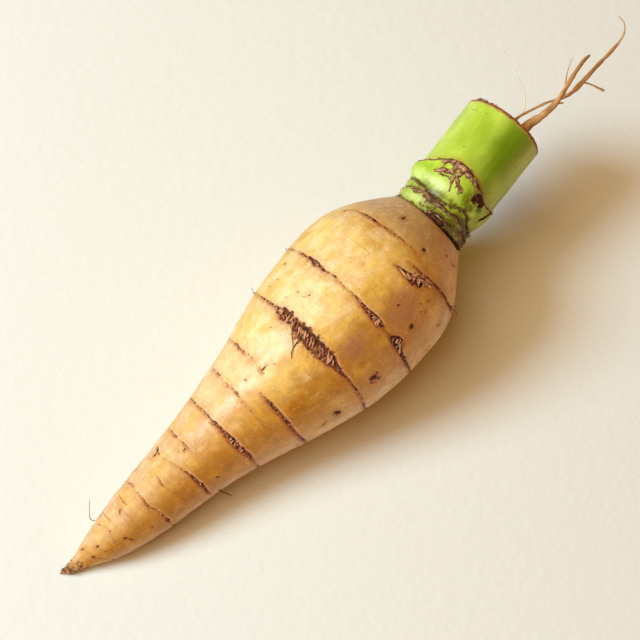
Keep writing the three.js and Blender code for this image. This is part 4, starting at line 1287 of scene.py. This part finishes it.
def scab_fields(distance, angle, radius, rough):
    """How deep inside the crust and the rot each place is: a bell curve of the distance to the
    nearest streak, in its widths, with a ragged edge."""
    fields = np.zeros((2, *radius.shape))
    for start, turn, end, end_turn, wide, rotten in SCABS:
        across = np.radians(turned_from(angle, turn)) * radius
        slant = math.radians(end_turn - turn) * COLLAR_RADIUS
        far = segment_distance(distance - start, across, end - start, slant)
        deep = bell(far / (0.62 * wide) * (1 + (0.25 if rotten else 0.5) * rough))
        fields[rotten] = np.maximum(fields[rotten], deep)
    return fields


class ROOTVEG_OT_sheaths(bpy.types.Operator):
    """Wrap the torn leaf-sheath collars round the foot of the stalk"""

    bl_idname = "rootveg.sheaths"
    bl_label = "Leaf-sheath collars"

    def execute(self, context):
        settings = context.scene.rootveg_stalk
        tan = rgb(118, 62, 38), rgb(226, 176, 144)
        dull_tan = rgb(116, 84, 54), rgb(188, 158, 122)
        # Node, slot, dullness, tear, width of the dried edge, columns and rows, crust colours.
        plans = [
            ("sheath_upper", "green_sheath", 0.05, 0.35, 0.6, (420, 96), tan),
            ("sheath_middle", "green_sheath", 0.45, 0.4, 0.45, (330, 60), dull_tan),
            ("sheath_lower", "dry_sheath", 0.6, 0.9, 1.1, (330, 60), dull_tan),
        ]
        for layer, (node, slot, grey, tear, dry_band, size, husk) in enumerate(plans):
            material = sheath_look(node.replace("_", " "), settings, grey, husk)
            points, faces, values, unrolled = self.collar(
                node, layer, settings.edge_tear * tear, tear, dry_band, *size
            )
            make_piece(node + "_skin", points, faces, material, values, node, unrolled)
        return {"FINISHED"}

    def collar(self, node, layer, torn_reach, tear, dry_band, columns, rows):
        """One collar: rows up its outside to the torn edge, and down its inside. Its thickness
        thins to a fine edge, which curls a little away from the stalk. The marks are fields of 0
        to 1: dry is the dried edge and the crusts, and rot the black rot. Crease is a painted
        shade, the brown line at its own edge and above the collar outside it. The brown-olive mark
        is partly a brown stain by the crown and partly painted shade on the side away from the
        light and above that collar. The pale band on the lit side is a painted highlight."""
        angles = np.linspace(0, 360, columns, endpoint=False)
        seed = 70 + 10 * layer
        edge_place = stalk_point(np.zeros(columns), angles, np.full(columns, COLLAR_RADIUS))
        torn = field(edge_place, 3.2, seed, 2) + 0.6 * field(edge_place, 0.9, seed + 1)
        edge = smooth(SHEATH_EDGES[node], angles) + torn_reach * torn
        crown = 0.9 + 1.6 * np.sin(np.radians(angles - 200))
        distance = crown + np.linspace(0, 1, rows)[:, None] ** 0.8 * (edge - crown)
        angle = np.broadcast_to(angles, distance.shape)
        radius = smooth(STALK_OUTLINE, distance)
        from_edge, from_crown = edge - distance, distance - crown
        place = straight_point(distance, angle, radius)

        def side(start, wide):
            """The side of the collar round this angle."""
            return bell(turned_from(angle, start) / wide)

        rough = field(place, 0.9, seed + 2, 2)
        patchy = np.clip(0.8 + 0.6 * field(place, 2.5, 95 + layer, 2), 0, 1)
        # Brown-olive by the crown on the side away from the light: partly a stain, partly painted
        # shade.
        grime_and_painted_shade = eased(np.cos(np.radians(angle - 150)), -0.3, 0.8) * (1 - eased(distance, 5, 16))
        crust = crease = np.zeros(radius.shape)
        rot = 0.9 * bell((from_crown - 0.1) / 0.5)
        # Painted highlight: a pale band on the lit side.
        painted_highlight_band = bell((distance - 12.3) / 2.0) * side(58, 36)
        standing = 0
        if layer < 2:
            covered = smooth(SHEATH_EDGES[("sheath_middle", "sheath_lower")[layer]], angles)
            # Painted shade just above the edge of the collar outside this one: a brown crease, and
            # a darker brown-olive band on the side away from the light.
            crease = bell((distance - covered - 0.5) / 0.8) * (0.5 + 0.5 * patchy)
            shaded = eased(np.cos(np.radians(angle - 110)), 0.1, 0.8)
            grime_and_painted_shade = np.maximum(grime_and_painted_shade, 0.75 * shaded * bell((distance - covered - 1) / 3))
        if node == "sheath_upper":
            crust, rot = scab_fields(distance, angle, radius, rough)
            standing = 1.3 * side(8, 36) * bell((distance - 16.5) / 4.5)
            grime_and_painted_shade = np.maximum(grime_and_painted_shade, 0.9 * side(128, 26))
        elif node == "sheath_middle":
            rot = np.maximum(rot, 0.7 * bell((from_edge - 0.8) / 0.5) * (2 * patchy - 1.1))
        else:
            crevice = side(98, 26) * bell((from_crown - 0.8) / 2.4)
            rot = np.maximum(0.6 * rot, crevice * (0.75 + 0.55 * field(place, 2.2, 97, 2)))
            dry_band = dry_band * (1 + 1.5 * side(94, 22))
            grime_and_painted_shade = np.maximum(grime_and_painted_shade, 1.5 * side(110, 34))
            painted_highlight_band = 0.8 * bell((distance - 3) / 2) * side(58, 22)
        dry = bell(from_edge / (dry_band * np.clip(1 + field(place, 4, seed + 4, 2), 0.3, 2)))
        dry = np.clip(np.maximum(dry, crust), 0, 1)
        # Painted shade: a brown line along the torn edge.
        crease = np.maximum(crease, bell((from_edge - 0.1) / 0.35) * (0.3 + 0.7 * patchy))

        inner = radius + GAP * 0.6 + layer * SHEATH_LAYER + standing
        thickness = SHEATH_THICKNESS * (0.3 + 0.7 * eased(from_edge, 0, 1.6))
        wrinkles = field(place * (0.25, 1, 1), 1.6, seed + 3, 2)
        curl = 0.45 * tear * bell(from_edge) * (1 + torn * 0.5)
        relief = 0.05 * wrinkles + 0.3 * dry * rough + 0.35 * eased(crust, 0.3, 0.8)
        relief = relief - 0.45 * eased(rot, 0.4, 0.8) + 0.3 * bell((rot - 0.3) / 0.15)
        outer = inner + np.maximum(thickness + relief, 0.15) + curl
        back = np.linspace(rows - 1, 0, 10).astype(int)
        outside = stalk_point(distance, angle, outer)
        inside = stalk_point(distance[back], angle[back], (inner + curl * 0.8)[back])
        values = {"grain": place, "dry": dry, "rot": np.clip(rot, 0, 1), "crease": crease,
                  "grime_and_painted_shade": grime_and_painted_shade * patchy, "painted_highlight_band": painted_highlight_band}
        values = {
            name: np.concatenate([value, value[back]]).reshape(-1, *value.shape[2:])
            for name, value in values.items()
        }
        points, faces, unrolled = ring_grid(np.concatenate([outside, inside]), ends=False)
        return points, faces, values, unrolled


class ROOTVEG_OT_shreds(bpy.types.Operator):
    """Add dried shreds where the collars leave the crown, at their edges and round the cut rim"""

    bl_idname = "rootveg.shreds"
    bl_label = "Dried shreds"

    def execute(self, context):
        draw = np.random.default_rng(33)
        groups = []  # start, angle, surface radius, reach along, reach sideways, lift, thickness
        # Along each collar's edge: start just inside the edge and point on, or lie along it.
        for node, layer, count, back in (("sheath_lower", 2, 110, 2.4),
                                         ("sheath_middle", 1, 24, 0.8),
                                         ("sheath_upper", 0, 22, 0.8)):
            angle = draw.uniform(0, 360, count)
            start = smooth(SHEATH_EDGES[node], angle) - draw.uniform(0.2, back, count)
            along, sideways = draw.normal(0.3, 0.4, count), draw.normal(0, 1.3, count)
            outside = layer * SHEATH_LAYER + SHEATH_THICKNESS + 0.25
            surface = smooth(STALK_OUTLINE, start) + outside
            lift = draw.uniform(0.0, 0.3, count)
            groups.append((start, angle, surface, along, sideways, lift, 0.14))
        # At the crown: thin shreds that lie round the joint between root and collars.
        count = 60
        angle, start = draw.uniform(0, 360, count), draw.uniform(0.4, 1.6, count)
        along, sideways = draw.normal(0.3, 0.4, count), draw.normal(0, 1.8, count)
        lift = draw.uniform(0.1, 0.5, count)
        groups.append((start, angle, np.full(count, CROWN_SURFACE), along, sideways, lift, 0.16))
        # Round the cut rim, most of them in one tuft.
        tufted = draw.uniform(0, 1, count) < 0.6
        angle = np.where(tufted, draw.normal(42, 11, count), draw.uniform(0, 360, count))
        tuft = bell((angle - 42) / 18)
        start = np.full(count, STALK_LENGTH - 0.8)
        along = draw.uniform(0.2, 0.7, count) + tuft * draw.uniform(0, 0.7, count)
        sideways = draw.normal(0, 0.9, count)
        lift = draw.uniform(0, 0.35, count) + 0.3 * tuft
        groups.append((start, angle, np.full(count, RIM_SURFACE), along, sideways, lift, 0.17))

        t = np.linspace(0, 1, 8)
        left, up, _, _ = stalk_axes()
        pieces = []
        for *columns, thick in groups:
            start, angle, surface, along, sideways, lift = (part[:, None] for part in columns)
            bow = draw.normal(0, 0.3, start.shape) * np.sin(np.pi * t)
            height = surface - 0.1 + lift * np.sin(np.pi * t * 0.9)
            swing = np.degrees(sideways / STALK_RADIUS) * t
            path = stalk_point(start + along * t + bow, angle + swing, height)
            wide = thick * draw.uniform(0.5, 1.5, start.shape)
            turn = np.radians(angle)
            normal = np.cos(turn) * left + np.sin(turn) * up
            pieces.append((path, wide * (0.35 + 0.75 * np.sin(np.pi * t)), normal))
        paths, radii, normals = (np.concatenate(group) for group in zip(*pieces))
        points, faces, each = tubes(paths, radii, 5, normals)
        shade = draw.uniform(0, 1, len(paths)) ** 1.4
        material = fibre_look("dried shred", rgb(58, 34, 18), rgb(200, 156, 124))
        values = {"shade": np.repeat(shade, each), "grain": points}
        make_piece("dried_shreds", points, faces, material, values)
        return {"FINISHED"}


class ROOTVEG_OT_strands(bpy.types.Operator):
    """Run the dried strands out of the cut face"""

    bl_idname = "rootveg.strands"
    bl_label = "Dried strands"

    def execute(self, context):
        settings = context.scene.rootveg_stalk
        left, up, along, base = stalk_axes()
        face = base + along * (STALK_LENGTH - CUT_DISH)

        def from_cut(start, route):
            return [tuple(face + left * start[0] + up * start[1]), *route]

        straw = fibre_look("dried strand", rgb(160, 106, 62), settings.straw, 0.7)
        pale = fibre_look("pale hair", rgb(228, 208, 166), settings.pale, 0.6)
        # Each branch: its route, and its radius over the share of its length.
        shoot = [
            (from_cut(DRIED_SHOOT_START, DRIED_SHOOT),
             [(0, 2.1), (0.15, 1.7), (0.36, 1.15), (0.5, 0.95), (0.8, 0.75), (1, 0.6)]),
            (DRIED_SHOOT_BRANCH, [(0, 0.3), (1, 0.1)]),
            (DRIED_SHOOT_STUB, [(0, 0.7), (1, 0.3)]),
        ]
        rootlet = [
            (from_cut(THIN_ROOTLET_START, THIN_ROOTLET),
             [(0, 0.6), (0.3, 0.55), (0.42, 0.95), (0.6, 0.85), (0.78, 0.7), (0.9, 0.35),
              (1, 0.12)]),
            (THIN_ROOTLET_BRANCH, [(0, 0.42), (0.7, 0.36), (0.9, 0.55), (1, 0.5)]),
        ]
        hair = [(from_cut(PALE_HAIR_START, PALE_HAIR), [(0, 0.24), (1, 0.12)])]
        self.build(shoot, straw, "dried_shoot", "dried_strand", 80)
        self.build(rootlet, straw, "thin_rootlet", "dried_strand", 81)
        self.build(hair, pale, "pale_hair", "pale_hair", 82)
        return {"FINISHED"}

    def build(self, branches, material, node, slot, seed):
        """Tubes along smooth routes. The radius follows its table, swells and pinches with a
        random field, and carries lengthwise ridges."""
        points, faces, shades, grains = np.zeros((0, 3)), [], [], []
        turn = np.linspace(0, 2 * np.pi, 20, endpoint=False)
        for number, (route, thickness) in enumerate(branches):
            length = sum(math.dist(a, b) for a, b in zip(route, route[1:]))
            rows = int(length * 3) + 12
            path = route_through(route, rows)[:, None]
            side, up = directions_across(path[:, 0], (0.15, 0.1, 1.0))
            t = np.linspace(0, 1, rows)[:, None]
            grain = straight_point(t * length, np.degrees(turn), 2 + 0 * t)
            swell = 1 + 0.16 * field(grain * (1, 0, 0), 3.5, seed + number, 2)
            ridges = 1 + 0.16 * field(grain * (0.12, 1, 1), 1.0, seed + 5 + number, 2)
            close = np.sqrt(np.clip((1 - t) * length / thickness[-1][1], 0.05, 1))
            radius = (smooth(thickness, t) * swell * ridges * close)[..., None]
            around = np.cos(turn)[:, None] * side[:, None] + np.sin(turn)[:, None] * up[:, None]
            more, new_faces, _ = ring_grid(path + radius * around)
            faces += [[corner + len(points) for corner in reversed(face)] for face in new_faces]
            points = np.concatenate([points, more])
            shade = np.clip(0.55 + 0.45 * field(grain * (0.5, 1, 1), 2.5, seed + 9, 2), 0, 1)
            shades.append(with_poles(shade))
            grains.append(with_poles(grain))
        values = {"shade": np.concatenate(shades), "grain": np.concatenate(grains)}
        make_piece(node + "_strand", points, faces, material, values, node)


# ---- Stage ----

# In metres.
FLOOR_HALF = 3.0
FLOOR_GRAIN = 1 / 220
LIGHT_DISTANCE = 2.0


class ROOTVEG_OT_stage(bpy.types.Operator):
    """Set the pale floor, the camera and the soft light"""

    bl_idname = "rootveg.stage"
    bl_label = "Stage"

    def execute(self, context):
        settings = context.scene.rootveg_stage
        self.floor(settings)
        self.camera(context, settings)
        self.lights(context, settings)
        context.scene.view_settings.view_transform = "Standard"
        return {"FINISHED"}

    def floor(self, settings):
        """A square of one face with a faintly uneven matt finish."""
        half = FLOOR_HALF
        mesh = bpy.data.meshes.new("floor")
        corners = [(-half, -half, 0), (half, -half, 0), (half, half, 0), (-half, half, 0)]
        mesh.from_pydata(corners, [], [(0, 1, 2, 3)])
        floor = bpy.data.objects.new("floor", mesh)
        bpy.context.scene.collection.objects.link(floor)
        look = Look("pale floor", in_object=True)
        look.colour = settings.floor
        look.bump(look.noise(FLOOR_GRAIN, 5), 1.2, 0.16)
        mesh.materials.append(look.finish(0.85))

    def camera(self, context, settings):
        """The view leans from straight down, and is rolled about its line of sight."""
        data = bpy.data.cameras.new("camera")
        data.lens = settings.lens
        data.sensor_width = 36
        data.clip_start = 0.01
        forward = Vector((math.tan(settings.lean_along), math.tan(settings.lean_across), -1))
        forward.normalize()
        level = Vector((1, 0, 0))
        level = (level - forward * level.dot(forward)).normalized()
        upright = level.cross(forward)
        cosine, sine = math.cos(settings.roll), math.sin(settings.roll)
        right, up = cosine * level - sine * upright, sine * level + cosine * upright
        camera = bpy.data.objects.new("camera", data)
        turn = Matrix((right, up, -forward)).transposed().to_4x4()
        place = settings.target - forward * settings.distance
        camera.matrix_world = Matrix.Translation(place) @ turn
        context.scene.collection.objects.link(camera)
        context.scene.camera = camera

    def lights(self, context, settings):
        """A key light and a broad warm light above it from one side, a low weak one from the
        other side, and a faint fill."""
        key, low = settings.key_heading, settings.low_heading
        # Name, heading, height, power, size in metres, colour.
        plans = (
            ("key", key, settings.key_height, settings.key_power, 0.75, (0.64, 0.89, 1)),
            ("soft light", key, settings.soft_height, settings.soft_power, 1.7, (1, 0.81, 0.47)),
            ("low light", low, settings.low_height, settings.low_power, 1.2, (1, 0.68, 0.6)),
        )
        for name, heading, height, power, size, colour in plans:
            level = math.cos(height)
            toward = Vector((
                level * math.cos(heading), level * math.sin(heading), math.sin(height)
            ))
            data = bpy.data.lights.new(name, "AREA")
            data.shape = "DISK"
            data.size, data.energy, data.color = size, power, colour
            light = bpy.data.objects.new(name, data)
            light.location = toward * LIGHT_DISTANCE
            light.rotation_euler = (-toward).to_track_quat("-Z", "Y").to_euler()
            context.scene.collection.objects.link(light)
        world = bpy.data.worlds.new("studio")
        world.use_nodes = True
        background = world.node_tree.nodes["Background"]
        background.inputs["Color"].default_value = (*settings.fill, 1)
        background.inputs["Strength"].default_value = settings.fill_power
        context.scene.world = world


# ---- Panel and registration ----

BUILD_ORDER = (
    ROOTVEG_OT_stage,
    ROOTVEG_OT_root_skin,
    ROOTVEG_OT_scar_fibres,
    ROOTVEG_OT_skin_marks,
    ROOTVEG_OT_whiskers,
    ROOTVEG_OT_stalk,
    ROOTVEG_OT_sheaths,
    ROOTVEG_OT_shreds,
    ROOTVEG_OT_strands,
)


class ROOTVEG_PT_panel(bpy.types.Panel):
    """Sidebar panel with the settings and one button for each group of pieces"""

    bl_idname = "ROOTVEG_PT_panel"
    bl_label = "Root vegetable"
    bl_space_type = "VIEW_3D"
    bl_region_type = "UI"
    bl_category = "Root"

    def draw(self, context):
        for group in ("rootveg_root", "rootveg_stalk", "rootveg_stage"):
            box = self.layout.box()
            settings = getattr(context.scene, group)
            for name in settings.__annotations__:
                box.prop(settings, name)
        for operator in BUILD_ORDER:
            self.layout.operator(operator.bl_idname)


CLASSES = (RootSettings, StalkSettings, StageSettings, *BUILD_ORDER, ROOTVEG_PT_panel)


def register():
    for cls in CLASSES:
        bpy.utils.register_class(cls)
    bpy.types.Scene.rootveg_root = PointerProperty(type=RootSettings)
    bpy.types.Scene.rootveg_stalk = PointerProperty(type=StalkSettings)
    bpy.types.Scene.rootveg_stage = PointerProperty(type=StageSettings)


def unregister():
    del bpy.types.Scene.rootveg_stage
    del bpy.types.Scene.rootveg_stalk
    del bpy.types.Scene.rootveg_root
    for cls in reversed(CLASSES):
        bpy.utils.unregister_class(cls)


def main():
    register()
    for operator in BUILD_ORDER:
        group, name = operator.bl_idname.split(".")
        getattr(getattr(bpy.ops, group), name)()


if __name__ == "__main__":
    main()
